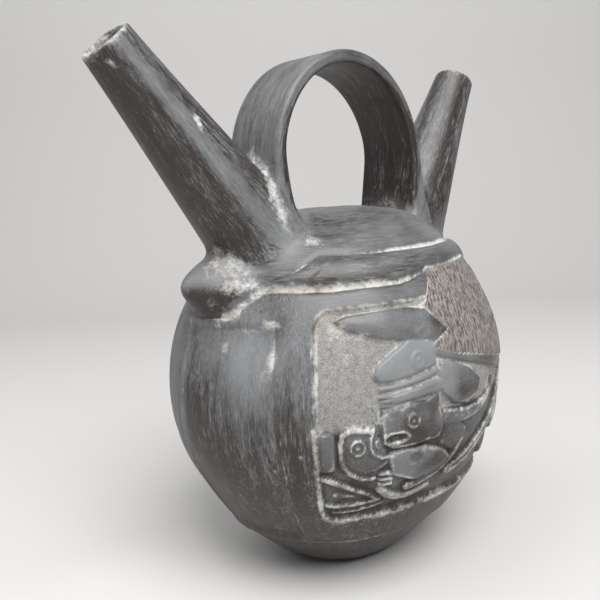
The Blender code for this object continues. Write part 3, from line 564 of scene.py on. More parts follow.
def shoulder(turn, rise):
    """The roll over the frame and the groove on each side of it."""
    half = from_middle(turn)
    over_pelt = fade(turn, -18, 4) * fade(-turn, -46, -34)
    low = SHOULDER_LOW + 3.2 * over_pelt - 8.5 * fade(half, 64, 80)
    high = SHOULDER_HIGH - 5.5 * fade(half, 46, 58) - 3 * fade(half, 57, 68)
    share = np.clip((rise - low) / (high - low), 0, 1)
    roll = SHOULDER_ROLL * np.sin(math.pi * share) ** 0.8
    grooves = SHOULDER_GROOVE * (bell(rise, low, 1.3) + 0.7 * bell(rise, high, 1.2))
    return roll - grooves, rise - low


def clay_offset(turn, rise):
    """All the clay added to the ellipsoid at each turn and rise."""
    front = np.abs(turn) < 90
    roll, over_groove = shoulder(turn, rise)
    facet = facet_edge(turn, rise)
    opened = fade(-panel_edge(turn, rise), -0.5, 0.5)
    framed = fade(rise, FRAME_FOOT - 0.6, FRAME_FOOT + 0.6) * fade(-over_groove, 0, 1.2)
    frame = (FRAME_PROUD * framed - (FRAME_PROUD + FACET_DEPTH) * fade(-facet, -0.5, 2.2)
             - (FRAME_PROUD + PANEL_DEPTH) * opened)
    seam_line = np.abs(turn) - SEAM_TURN + 9 * fade(rise, 14, 26)
    seam = SEAM_RIDGE * bell(seam_line, 0, 1.2) * fade(-facet, 0, 3)
    across_back = turn - 180 * np.sign(turn)
    relief = np.where(front, front_heights(turn, rise).max(axis=0), back_relief(across_back, rise))
    offset = roll + frame + seam + FIGURE_HEIGHT * relief * opened
    patch = pelt(turn, rise) * front
    return offset * (1 - patch) + PELT_PROUD * patch + plain_offset(rise)


def body_point(turn, rise, offset):
    """Point of the body with the given clay on it, down to just under the flat base."""
    under = floor_offset(turn, rise, -BASE_CUT)
    return pushed_out(turn, rise, np.minimum(smooth_least(offset, under, BASE_ROUND), under))


def body_distance(points):
    """Distance from the body's surface, negative inside."""
    size, turn, rise = body_place(points)
    return (size - 1) / stretch(turn, rise) - clay_offset(turn, rise)


def spout_frame(side, root_x, root_height, lean):
    """Mouth centre, direction down the spout, and the direction across it."""
    sine, cosine = math.sin(math.radians(lean)), math.cos(math.radians(lean))
    down = np.array([-side * sine, 0, -cosine])
    mouth = np.array([root_x, 0, root_height]) - SPOUT_LENGTH * down
    return mouth, down, np.array([cosine, 0, -side * sine])


SPOUTS = (spout_frame(*LEFT_SPOUT), spout_frame(*RIGHT_SPOUT))


def spout_radius(along):
    """Outer radius at a distance down from the mouth."""
    share = np.clip(along / SPOUT_LENGTH, 0, None)
    return SPOUT_MOUTH_RADIUS + (SPOUT_ROOT_RADIUS - SPOUT_MOUTH_RADIUS) * share ** SPOUT_SWELL


def spout_distance(points, mouth, down, across):
    """Distance from a spout's outer surface."""
    away = points - mouth
    along = away @ down
    radius = np.hypot(away @ across, away[:, 1])
    ends = np.maximum(-along, along - SPOUT_LENGTH)
    return np.maximum(radius - spout_radius(along), ends)


def handle_path(steps):
    """Middle line of the handle in X and Z, from foot to foot over the arch."""
    angle = np.linspace(math.pi, 0, steps + 1)
    arch = [HANDLE_HALF_SPAN * np.cos(angle), HANDLE_SPRING + HANDLE_RISE * np.sin(angle)]
    foot = HANDLE_SPRING - HANDLE_LEG
    legs = np.linspace(foot, HANDLE_SPRING, 12)[:-1]
    out = np.full(len(legs), HANDLE_HALF_SPAN)
    return np.hstack([[-out, legs], arch, [out, legs[::-1]]]).T


def handle_spread(z):
    """Clay added to the strap's half thickness and half width as it nears its feet."""
    return HANDLE_FLARE * fade(-z, -HANDLE_SPRING - 0.3 * HANDLE_RISE, HANDLE_LEG - HANDLE_SPRING)


def handle_distance(points):
    """Distance from the strap's surface."""
    path = handle_path(HANDLE_STEPS)
    step = path[1:] - path[:-1]
    here = points[:, None, [0, 2]] - path[:-1]
    share = np.clip((here * step).sum(-1) / (step * step).sum(-1), 0, 1)
    away = np.linalg.norm(here - share[..., None] * step, axis=-1).min(axis=1)
    spread = handle_spread(points[:, 2])
    thick, wide = 0.5 * HANDLE_THICKNESS + spread, 0.5 * HANDLE_WIDTH + spread
    return rectangle(away, points[:, 1], -thick, thick, -wide, wide, HANDLE_ROUND)


def lug_axis(side):
    """The lug's tip, and the direction from there into the body."""
    tip = np.array([side * LUG_REACH, 0, LUG_HEIGHT])
    inward = np.array([-side * LUG_LENGTH, 0, -LUG_DROP])
    return tip, inward / np.linalg.norm(inward)


def lug_radius(along):
    """Radius of the lug at a distance from its tip."""
    return LUG_ROOT_RADIUS * np.clip(along / LUG_NOSE, 0, 1) ** LUG_BLUNTNESS


def lug_distance(points, side):
    """Distance from a lug's surface."""
    tip, inward = lug_axis(side)
    away = points - tip
    along = away @ inward
    beside = np.linalg.norm(away - along[:, None] * inward, axis=1)
    beyond = np.maximum(-along, along - LUG_LENGTH)
    return np.maximum(beside - lug_radius(along), beyond)


def bottle_distance(points):
    """Distance from the whole bottle with fillets, nearness to a join, and the parts' distances.

    Nearness is 0 where two surfaces cross and 1 at a fillet's edge. The parts are the body,
    the spouts and the lugs, left before right, and the strap.
    """
    parts = ([body_distance(points)] + [spout_distance(points, *spout) for spout in SPOUTS]
             + [lug_distance(points, side) for side in (-1, 1)] + [handle_distance(points)])
    distance = parts[0]
    gap = np.full(len(points), np.inf)
    for other, fillet in zip(parts[1:], FILLETS):
        gap = np.minimum(gap, np.maximum(np.abs(distance), np.abs(other)) / fillet)
        distance = smooth_least(distance, other, fillet)
    return distance, gap, np.stack(parts)


def put(name, data):
    """A new object for a mesh, camera or lamp, put into the scene."""
    thing = bpy.data.objects.new(name, data)
    bpy.context.collection.objects.link(thing)
    return thing


def skin_over(name, rings, first, last):
    """Closed skin over a stack of rings, drawn together to a point at each end."""
    here = np.arange(rings[..., 0].size).reshape(rings.shape[:2])
    beside = np.roll(here, -1, axis=1)
    quads = np.stack([here[:-1], beside[:-1], beside[1:], here[1:]], axis=-1).reshape(-1, 4)
    middle = np.full_like(here[0], here.size)
    fans = np.vstack([np.stack([middle, beside[0], here[0]], axis=-1),
                      np.stack([middle + 1, here[-1], beside[-1]], axis=-1)])
    points = np.vstack([rings.reshape(-1, 3), first, last])
    mesh = bpy.data.meshes.new(name)
    mesh.from_pydata(points.tolist(), [], quads.tolist() + fans.tolist())
    work = bmesh.new()
    work.from_mesh(mesh)
    bmesh.ops.recalc_face_normals(work, faces=work.faces)
    work.to_mesh(mesh)
    work.free()
    return put(name, mesh)


def spaced(stops, steps):
    """Values that cross each stretch between two stops at about that stretch's step."""
    values = [np.array([stops[0]])]
    for low, high, step in zip(stops, stops[1:], steps):
        count = max(1, round((high - low) / step))
        values.append(np.linspace(low, high, count + 1)[1:])
    return np.concatenate(values)


def fine_offset(turn, rise):
    """All the clay over the ellipsoid, with the pelt's cut hairs and the wall's swells.

    The swells are three waves of unlike pitch over turn and rise.
    """
    t, r = np.radians(turn), np.radians(rise)
    waves = (np.sin(5 * t + 3 * r + 0.7) + np.sin(9 * r - 4 * t + 2.1)
             + 0.7 * np.sin(13 * t + 7 * r + 4))
    cut = hair_strokes(turn, rise) * pelt(turn, rise) * (np.abs(turn) < 60) * fade(-rise, -37.5, -34.5)
    return clay_offset(turn, rise) + UNEVEN * waves * np.cos(r) - STROKE_DEPTH * cut


def make_body():
    """The body: a grid over turn and rise, each point pushed out by the clay on it."""
    edge = PANEL_HALF_TURN + STILE_TURN + 3
    stops = [PANEL_HALF_TURN + 2, edge, SEAM_TURN - 4, SEAM_TURN + 4, 180 - edge, 180]
    steps = [FRAME_STEP, SIDE_STEP, SEAM_STEP, SIDE_STEP, BACK_STEP]
    turns = spaced([-stop for stop in stops[::-1]] + [PANEL_NEAR_TURN] + stops,
                   steps[::-1] + [PANEL_STEP, PANEL_FAR_STEP] + steps)[:-1]
    rises = spaced([-89, FRAME_FOOT - 3, PANEL_BOTTOM - 1.5, PANEL_TOP + 1.5, SHOULDER_HIGH + 3, 89],
                   [PLAIN_STEP, FRAME_RISE_STEP, PANEL_RISE_STEP, SHOULDER_STEP, PLAIN_STEP])
    turn, rise = np.meshgrid(turns, rises)
    rings = body_point(turn, rise, fine_offset(turn, rise))
    return skin_over("body", rings, (0, 0, -BASE_CUT), (0, 0, rings[-1, :, 2].mean()))


def tube(name, axis, along, radius, sides, lead=0):
    """A closed tube: round rings of the given radii, set along an axis from its start."""
    start, down, across = axis
    angle = np.linspace(0, 2 * math.pi, sides, endpoint=False)
    outwards = np.cos(angle)[:, None] * across + np.sin(angle)[:, None] * np.array([0, 1, 0])
    rings = (start + along[:, None] * down)[:, None] + radius[..., None] * outwards
    return skin_over(name, rings, start + lead * down, start + along[-1] * down)


def make_spout(name, spout):
    """A spout: rings along its axis with the outer radius, closed by a rounded, worn lip."""
    angle = np.radians(np.linspace(90, 0, LIP_STEPS + 1))[:-1]
    along = np.append(LIP_ROUND * (1 - np.sin(angle)), np.linspace(LIP_ROUND, SPOUT_LENGTH, TUBE_STEPS))
    inset = np.append(LIP_ROUND * (1 - np.cos(angle)), np.zeros(TUBE_STEPS))
    turn = np.linspace(0, 2 * math.pi, TUBE_SIDES, endpoint=False)
    near_mouth = np.exp(-along / MOUTH_WEAR_REACH)[:, None]
    wear = 0.5 + 0.3 * np.sin(3 * turn + 1) + 0.2 * np.sin(8 * turn)
    swell = 0.6 * UNEVEN * np.sin(2 * turn + 60 * along[:, None])
    radius = (spout_radius(along) - inset)[:, None] - MOUTH_WEAR * wear * near_mouth + swell
    return tube(name, spout, along, radius, TUBE_SIDES)


def make_handle():
    """The strap: a rounded oblong section carried along its middle line."""
    path = handle_path(HANDLE_STEPS)
    run = np.gradient(path, axis=0)
    run /= np.linalg.norm(run, axis=1)[:, None]
    angle = np.radians(np.linspace(0, 90, 6))
    corner = HANDLE_ROUND * np.stack([np.cos(angle), np.sin(angle)], axis=-1)
    spread = handle_spread(path[:, 1])[:, None] - HANDLE_ROUND
    half_wide = 0.5 * HANDLE_WIDTH + spread
    half_thick = 0.5 * HANDLE_THICKNESS + spread
    middle = np.linspace(1, -1, 15)[1:-1]
    across, out = [], []
    for wide, thick, order in ((1, 1, 1), (-1, 1, -1), (-1, -1, 1), (1, -1, -1)):
        across.append(wide * (half_wide + corner[::order, 0]))
        out.append(thick * (half_thick + corner[::order, 1]))
        if wide * thick > 0:
            across.append(wide * half_wide * middle)
            out.append(thick * (half_thick + np.full(len(middle), HANDLE_ROUND)))
    across, out = np.hstack(across), np.hstack(out)
    rings = np.stack([path[:, :1] - out * run[:, 1:], across, path[:, 1:] + out * run[:, :1]], axis=-1)
    return skin_over("handle", rings, rings[0].mean(0), rings[-1].mean(0))


def make_lug(name, side):
    """A blunt nose: rings whose radius grows as a power of the way from the tip."""
    tip, inward = lug_axis(side)
    across = np.array([-inward[2], 0, inward[0]])
    along = np.append(LUG_NOSE * np.linspace(0.05, 1, LUG_STEPS) ** 2, LUG_LENGTH)
    return tube(name, (tip, inward, across), along, lug_radius(along)[:, None], LUG_SIDES)


def make_hollow():
    """The empty inside: the body's inner wall, a grid over turn and rise, and two bores."""
    turn, rise = np.meshgrid(np.linspace(-180, 180, HOLLOW_SIDES + 1)[:-1],
                             np.linspace(-88, 88, HOLLOW_STEPS))
    floor = floor_offset(turn, rise, BASE_THICKNESS)
    inner = np.minimum(smooth_least(plain_offset(rise) - BODY_WALL, floor, 2 * BODY_WALL), floor)
    rings = pushed_out(turn, rise, inner)
    low, high = rings[0, :, 2].mean(), rings[-1, :, 2].mean()
    hollow = skin_over("hollow", rings, (0, 0, low), (0, 0, high))
    along = np.append(-0.3, np.linspace(-0.02, 1, BORE_STEPS)) * SPOUT_LENGTH
    wall = LIP_WALL + (SPOUT_WALL - LIP_WALL) * fade(along, 0, 0.3 * SPOUT_LENGTH)
    radius = (spout_radius(along) - wall)[:, None]
    bores = [tube(name, spout, along, radius, BORE_SIDES, along[0])
             for name, spout in zip(("left_bore", "right_bore"), SPOUTS)]
    for bore in bores:
        join(hollow, bore, "UNION")
    return [hollow] + bores


def make_base_cutter():
    """A slab whose top trims the base flat at Z = 0."""
    width, depth = 5 * BASE_RADIUS, 10 * BASE_CUT
    shape = Matrix.Translation((0, 0, -0.5 * depth)) @ Matrix.Diagonal((width, width, depth, 1))
    work = bmesh.new()
    bmesh.ops.create_cube(work, size=1, matrix=shape)
    mesh = bpy.data.meshes.new("base_cutter")
    work.to_mesh(mesh)
    work.free()
    return put("base_cutter", mesh)


def join(thing, other, operation):
    """Adds or cuts away another solid."""
    step = thing.modifiers.new(operation.lower() + "_" + other.name, "BOOLEAN")
    step.operation = operation
    step.solver = "EXACT"
    step.object = other


def settled_mesh(thing):
    """The mesh of an object with its modifiers worked in."""
    bpy.context.view_layer.update()
    seen = thing.evaluated_get(bpy.context.evaluated_depsgraph_get())
    return bpy.data.meshes.new_from_object(seen)


def mesh_points(mesh):
    """The places of a mesh's points, one row each."""
    points = np.empty(len(mesh.vertices) * 3)
    mesh.vertices.foreach_get("co", points)
    return points.reshape(-1, 3)


def tidy_seams(mesh):
    """Triangles at the joins, with the short edges that the joining leaves drawn together.

    A face with many sides first gets a point in its middle. An edge is drawn together only
    where its ends share just two neighbours, so that the skin stays closed.
    """
    work = bmesh.new()
    work.from_mesh(mesh)
    bmesh.ops.poke(work, faces=[face for face in work.faces if len(face.verts) > 4])
    for _ in range(SEAM_ROUNDS):
        short = [edge for edge in work.edges if edge.calc_length() < SHORTEST_EDGE
                 and all(len(face.verts) == 3 for vert in edge.verts for face in vert.link_faces)]
        touched, chosen = set(), []
        for edge in sorted(short, key=lambda e: (round(e.calc_length(), 9), e.index)):
            ends = [{link.other_vert(vert) for link in vert.link_edges} for vert in edge.verts]
            if len(ends[0] & ends[1]) != 2 or (ends[0] | ends[1]) & touched:
                continue
            touched |= ends[0] | ends[1]
            chosen.append(edge)
        bmesh.ops.collapse(work, edges=chosen)
    bmesh.ops.recalc_face_normals(work, faces=work.faces)
    work.to_mesh(mesh)
    work.free()


def smooth_joins(mesh):
    """Draws the points near the joins onto the surface with its fillets, evenly spaced."""
    points = mesh_points(mesh)
    edges = np.empty(len(mesh.edges) * 2, dtype=np.int64)
    mesh.edges.foreach_get("vertices", edges)
    edges = edges.reshape(-1, 2)
    degree = np.bincount(edges.ravel(), minlength=len(points))
    near = np.nonzero(bottle_distance(points)[1] < JOIN_REACH)[0]
    for _ in range(JOIN_ROUNDS):
        total = np.zeros_like(points)
        for one, other in ((0, 1), (1, 0)):
            np.add.at(total, edges[:, one], points[edges[:, other]])
        points[near] += 0.5 * (total[near] / degree[near, None] - points[near])
        points[near] = onto_surface(points[near])
    mesh.vertices.foreach_set("co", points.ravel())
    mesh.update()


def onto_surface(points):
    """Moves points along the distance's slope until they lie on the bottle's surface."""
    here = bottle_distance(points)[0]
    slope = np.stack([bottle_distance(points + shift)[0] - here
                      for shift in SLOPE_PROBE * np.eye(3)], axis=-1) / SLOPE_PROBE
    size = np.maximum((slope ** 2).sum(axis=1), 0.2)
    return points - (here / size)[:, None] * slope


def put_values(mesh, name, values):
    """Keeps one number, or one vector, for each point of the mesh."""
    kind, key = ("FLOAT", "value") if values.ndim == 1 else ("FLOAT_VECTOR", "vector")
    kept = mesh.attributes.new(name, kind, "POINT")
    kept.data.foreach_set(key, values.astype(np.float32).ravel())


def towards(value, goal, share):
    """A value brought a share of the way to a goal."""
    return value + share * (goal - value)


def blurred(field, width):
    """A field on a grid, blurred along both sides by a bell of the given width in cells."""
    reach = int(3 * width)
    shares = bell(np.arange(-reach, reach + 1), 0, width)
    shares /= shares.sum()
    for _ in range(2):
        padded = np.pad(field, ((reach, reach), (0, 0)), mode="edge")
        field = sum(share * padded[i:i + len(field)] for i, share in enumerate(shares)).T
    return field


def looked_up(field, turn, rise):
    """Values of a field kept on the panel's even grid, read between its points."""
    x = np.clip((turn - MAP_LEFT) / MAP_STEP, 0, field.shape[1] - 1.001)
    y = np.clip((rise - MAP_LOW) / MAP_STEP, 0, field.shape[0] - 1.001)
    i, j = x.astype(int), y.astype(int)
    a, b = x - i, y - j
    low = field[j, i] * (1 - a) + field[j, i + 1] * a
    high = field[j + 1, i] * (1 - a) + field[j + 1, i + 1] * a
    return low * (1 - b) + high * b


def panel_maps():
    """How deep the front lies below its near surroundings, and which figure shows where."""
    turn, rise = np.meshgrid(np.arange(MAP_LEFT, MAP_RIGHT + MAP_STEP, MAP_STEP),
                             np.arange(MAP_LOW, MAP_HIGH + MAP_STEP, MAP_STEP))
    height = clay_offset(turn, rise) - plain_offset(rise)
    hollow = blurred(height, 5) - height
    heights = front_heights(turn, rise)
    tone = np.take(np.array(FIGURE_TONES), heights.argmax(axis=0))
    bare = 1 - fade(heights.max(axis=0), 0.1, 0.35)
    return hollow, blurred(tone, 1.5), bare


def ovals(turn, rise, patches):
    """The strongest of some soft ovals on the body: a bell of the way from each middle."""
    return np.maximum.reduce([
        share * bell(np.hypot((turn - at_turn) / half_turn, (rise - at_rise) / half_rise), 0, 1)
        for at_turn, at_rise, half_turn, half_rise, share in patches])


def gathered(away, earth):
    """Pale earth that thins out in a bell with the distance from where it gathers."""
    return earth[0] * bell(away, 0, earth[1])


def trail(points, start, end, reach, share):
    """A soft streak of earth round a straight piece."""
    start, end = 0.001 * np.array(start), 0.001 * np.array(end)
    run = end - start
    along = np.clip((points - start) @ run / (run @ run), 0, 1)
    away = np.linalg.norm(points - start - along[:, None] * run, axis=1)
    return gathered(away, (share, 0.001 * reach))


def clay_finish(points):
    """The finish at each point, as named numbers from which the material mixes it.

    dirt_and_highlight: pale earth in grooves and valleys and in patches, and wear with a painted
    highlight on the lower relief's raised rims. ground: the matt ground of the panel.
    hair: the pelt block. polish_and_painted_light: grey polish against brown-black, with painted
    light and shade: lighter towards the top, painted highlights on the spouts, painted shade low
    down, under the lugs, inside the strap and in the lower recesses.
    level: strokes laid round the body, not down it. even: clay with no strokes. strokes:
    the pelt's cut hairs. grain: the place, drawn out along the strokes.
    """
    distance, _, parts = bottle_distance(points)
    away = np.abs(parts)
    part = away.argmin(axis=0)
    spout_away, lug_away = away[1:3].min(axis=0), away[3:5].min(axis=0)
    turn, rise = body_place(points)[1:]
    half = from_middle(turn)
    outer = np.abs(distance) < SKIN_REACH
    on_body = (part == 0) & outer
    front = (on_body & (np.abs(turn) < MAP_RIGHT - MAP_MARGIN)
             & (rise < MAP_HIGH - MAP_MARGIN / 2) & (rise > MAP_LOW + MAP_MARGIN / 2))
    hollow, tone, bare = (np.where(front, looked_up(field, turn, rise), 0) for field in panel_maps())
    panel = panel_edge(turn, rise)
    opened = fade(-panel, -0.4, 0.6) * on_body
    hair = np.where(front, pelt(turn, rise), 0)
    upper, lower = fade(rise, -6, 3), fade(-rise, -7, 1)
    groove = shoulder(turn, rise)[1]

    seen_side = fade(-np.abs(turn + 52), -46, -38)
    low_line = bell(groove, 0.2, 0.9 + 0.6 * fade(-turn, 15, 38)) * (0.38 + 0.6 * seen_side)
    high_line = bell(rise, SHOULDER_HIGH, 0.9 + 0.5 * fade(turn, -30, 5))
    high_line = high_line * (0.45 + 0.55 * fade(turn, -36, -14)) * fade(-half, -58, -34)
    facet_line = 0.42 * bell(facet_edge(turn, rise), -0.6, 1.2) * fade(rise, -30, 26)
    top_edge = fade(rise, PANEL_TOP - 4, PANEL_TOP - 1)
    low_edge = fade(-rise, -PANEL_BOTTOM - 4, -PANEL_BOTTOM - 1)
    rim_line = bell(panel, 0.3 + 0.9 * low_edge, 1.1 + 0.6 * low_edge)
    rim_line = rim_line * (0.58 + 0.2 * top_edge) * (1 - hair)
    patches = ovals(turn, rise, BODY_PATCHES)
    lines = np.maximum.reduce([low_line, high_line, facet_line, rim_line, patches]) * on_body
    recess = np.clip(hollow / RECESS_DEPTH, 0, 1) * (0.08 + 0.66 * upper)
    # Wear with a painted highlight on the raised rims of the lower relief, drawn in the pale earth
    # colour.
    ridge_wear_and_highlight = np.clip(-hollow / RIDGE_HEIGHT, 0, 1) * (0.06 + 0.62 * lower) * (1 - hair)
    handle_foot = gathered(np.maximum(away[5], spout_away), HANDLE_FOOT_EARTH)
    lug_foot = gathered(np.maximum(lug_away, np.minimum(away[0], spout_away)), LUG_FOOT_EARTH)
    to_mouth = np.minimum.reduce([np.abs((points - mouth) @ down) for mouth, down, _ in SPOUTS])
    mouths = np.maximum(gathered(to_mouth, LIP_EARTH), gathered(to_mouth, MOUTH_EARTH))
    mouths = mouths * ((part == 1) | (part == 2))
    hair_edge = np.where(front, 0.95 * bell(pelt(turn, rise), 0.6, 0.3), 0)
    dirt_and_highlight = np.maximum.reduce([lines, recess, ridge_wear_and_highlight, handle_foot, lug_foot, mouths, hair_edge]
                             + [trail(points, *streak) for streak in TRAILS])
    dirt_and_highlight = np.where(outer, dirt_and_highlight, 0.3 + gathered(to_mouth, BORE_EARTH))

    # Polish with painted light: lighter towards the top, painted shade towards the bottom, painted
    # highlights in the bright patches.
    polish_and_painted_light = 0.02 + 0.46 * fade(rise, -46, 24) + ovals(turn, rise, POLISH_AND_HIGHLIGHT_PATCHES)
    # Painted shade down the lower sides of the body.
    polish_and_painted_light = polish_and_painted_light - 0.3 * bell(half, 90, 12) * fade(-rise, -30, -12)
    polish_and_painted_light = np.where(front, polish_and_painted_light + opened * (tone - 0.5) * 0.8, polish_and_painted_light)
    # Painted shade in the recesses of the lower panel.
    deep = np.clip(hollow / (0.9 * RECESS_DEPTH), 0, 1) * lower * opened
    polish_and_painted_light = polish_and_painted_light - 0.4 * deep - ovals(turn, rise, DARK_TONE_AND_SHADE_PATCHES)
    grain = points * (1, 1, STROKE_PULL)
    for index, (mouth, down, across) in enumerate(SPOUTS):
        local = points - mouth
        beside = local @ across
        angle = np.abs(np.degrees(np.arctan2(local[:, 1], beside)))
        # Painted highlight: a light streak along each spout at its highlight angle, lighter on the
        # upper side and in painted shade below.
        painted_spout_light = (0.02 + 0.2 * fade(-angle, -122, -98) + 0.44 * bell(angle, SPOUT_HIGHLIGHT_ANGLES[index], 17))
        foot = fade(-away[0], -0.018, -0.004) * fade(-angle, -112, -88)
        share = fade(away[0] - away[index + 1], -0.003, 0.002)
        polish_and_painted_light = towards(polish_and_painted_light, towards(painted_spout_light, FOOT_POLISH_AND_LIGHT, foot), share)
        drawn = np.stack([beside, local[:, 1], STROKE_PULL * (local @ down)], axis=-1)
        grain = np.where((part == index + 1)[:, None], drawn, grain)
    x, y, z = points.T
    arch_size = np.hypot(x, z - HANDLE_SPRING)
    # Polish and painted light on the strap's outer face, painted shade on its inner face.
    strap = np.where(arch_size > HANDLE_HALF_SPAN, STRAP_POLISH_AND_LIGHT, 0)
    polish_and_painted_light = towards(polish_and_painted_light, strap, fade(away[:5].min(axis=0) - away[5], -0.002, 0.001))
    # Painted light on the lug's top, painted shade under it.
    lug = LUG_TOP_POLISH_AND_LIGHT * fade(z, LUG_HEIGHT - 0.003, LUG_HEIGHT + 0.001)
    polish_and_painted_light = towards(polish_and_painted_light, lug, fade(np.minimum(away[0], spout_away) - lug_away, -0.0025, 0.0025))

    arch = STROKE_PULL * HANDLE_HALF_SPAN * np.arctan2(z - HANDLE_SPRING, x)
    level = fade(groove, -1.5, 0.5) * fade(half, 28, 34)
    over_panel = fade(rise, PANEL_TOP, PANEL_TOP + 2) * fade(-half, -56, -50)
    return {
        "dirt_and_highlight": dirt_and_highlight,
        "ground": np.where(front, bare, 0.5) * opened * (1 - hair) * upper,
        "hair": hair,
        "polish_and_painted_light": np.where(outer, np.clip(polish_and_painted_light, 0, 1.2), 0),
        "level": np.maximum(level, over_panel) * (part == 0),
        "even": np.maximum(opened, 0.8 * ((part == 3) | (part == 4))),
        "strokes": np.where(front, hair_strokes(turn, rise) * hair, 0),
        "grain": np.where((part == 5)[:, None], np.stack([y, arch_size, arch], axis=-1), grain),
    }


def build_bottle():
    """Joins the parts, smooths the joins, cuts the hollow and marks the finish."""
    parts = [make_body(), make_spout("left_spout", SPOUTS[0]), make_spout("right_spout", SPOUTS[1]),
             make_lug("left_lug", -1), make_lug("right_lug", 1), make_handle()]
    for part in parts[1:]:
        join(parts[0], part, "UNION")
    skin = settled_mesh(parts[0])
    tidy_seams(skin)
    smooth_joins(skin)
    whole = put("whole", skin)
    empty = make_hollow() + [make_base_cutter()]
    join(whole, empty[0], "DIFFERENCE")
    join(whole, empty[-1], "DIFFERENCE")
    mesh = settled_mesh(whole)
    for helper in parts + empty + [whole]:
        bpy.data.objects.remove(helper)
    mesh.name = "bottle_clay"
    mesh.polygons.foreach_set("use_smooth", np.ones(len(mesh.polygons), dtype=bool))
    for name, values in clay_finish(mesh_points(mesh)).items():
        put_values(mesh, name, values)
    return put("double_spout_bottle", mesh)


class Recipe:
    """Short ways to lay out a material's nodes."""

    def __init__(self, name):
        self.material = bpy.data.materials.new(name)
        self.material.use_nodes = True
        self.tree = self.material.node_tree
        self.shader = self.tree.nodes["Principled BSDF"]

    def feed(self, node, inputs):
        """Sets a node's inputs, or links them to other nodes' outputs."""
        for key, value in inputs.items():
            if isinstance(value, bpy.types.NodeSocket):
                self.tree.links.new(value, node.inputs[key])
            else:
                node.inputs[key].default_value = value

    def node(self, kind, inputs, output=0, **settings):
        """The output of a new node that is fed with the given inputs."""
        made = self.tree.nodes.new("ShaderNode" + kind)
        for key, value in settings.items():
            setattr(made, key, value)
        self.feed(made, inputs)
        return made.outputs[output]

    def attribute(self, name, output="Fac"):
        return self.node("Attribute", {}, output, attribute_name=name)

    def noise(self, place, scale, detail=3, rough=0.55):
        settings = {"Vector": place, "Scale": scale, "Detail": detail, "Roughness": rough}
        return self.node("TexNoise", settings, "Fac")

    def maths(self, operation, a, b):
        return self.node("Math", {0: a, 1: b}, operation=operation)

    def ramp(self, value, low, high):
        """0 at low and 1 at high, level at both ends."""
        return self.node("MapRange", {"Value": value, "From Min": low, "From Max": high}, "Result",
                         interpolation_type="SMOOTHSTEP")

    def mix(self, share, a, b):
        """From colour a to colour b."""
        return self.node("Mix", {0: share, 6: a, 7: b}, 2, data_type="RGBA")

    def blend(self, share, a, b):
        """From number a to number b."""
        return self.node("Mix", {0: share, 2: a, 3: b}, data_type="FLOAT")

    def total(self, *terms, less=0):
        """The sum of some values, each times its weight, less a number."""
        value = -less
        for term, weight in terms:
            value = self.node("Math", {0: term, 1: weight, 2: value}, operation="MULTIPLY_ADD")
        return value


# Colours of the floor and the clay, linear
FLOOR_COLOUR = (0.6, 0.59, 0.575, 1)
BROWN_BLACK = (0.026, 0.019, 0.016, 1)
# Grey of the polish, partly a painted reflection of the lights.
POLISH_AND_REFLECTION_GREY = (0.208, 0.216, 0.222, 1)
# Earth colours, also used for the painted highlight on the lower relief's rims.
PALE_EARTH_AND_HIGHLIGHT = (0.62, 0.615, 0.585, 1)
BEIGE_EARTH_AND_HIGHLIGHT = (0.48, 0.44, 0.395, 1)
GROUND_GREY = (0.31, 0.3, 0.288, 1)
GROUND_DARK = (0.15, 0.144, 0.138, 1)
HAIR_GREY = (0.275, 0.25, 0.235, 1)
HAIR_DARK = (0.07, 0.058, 0.052, 1)


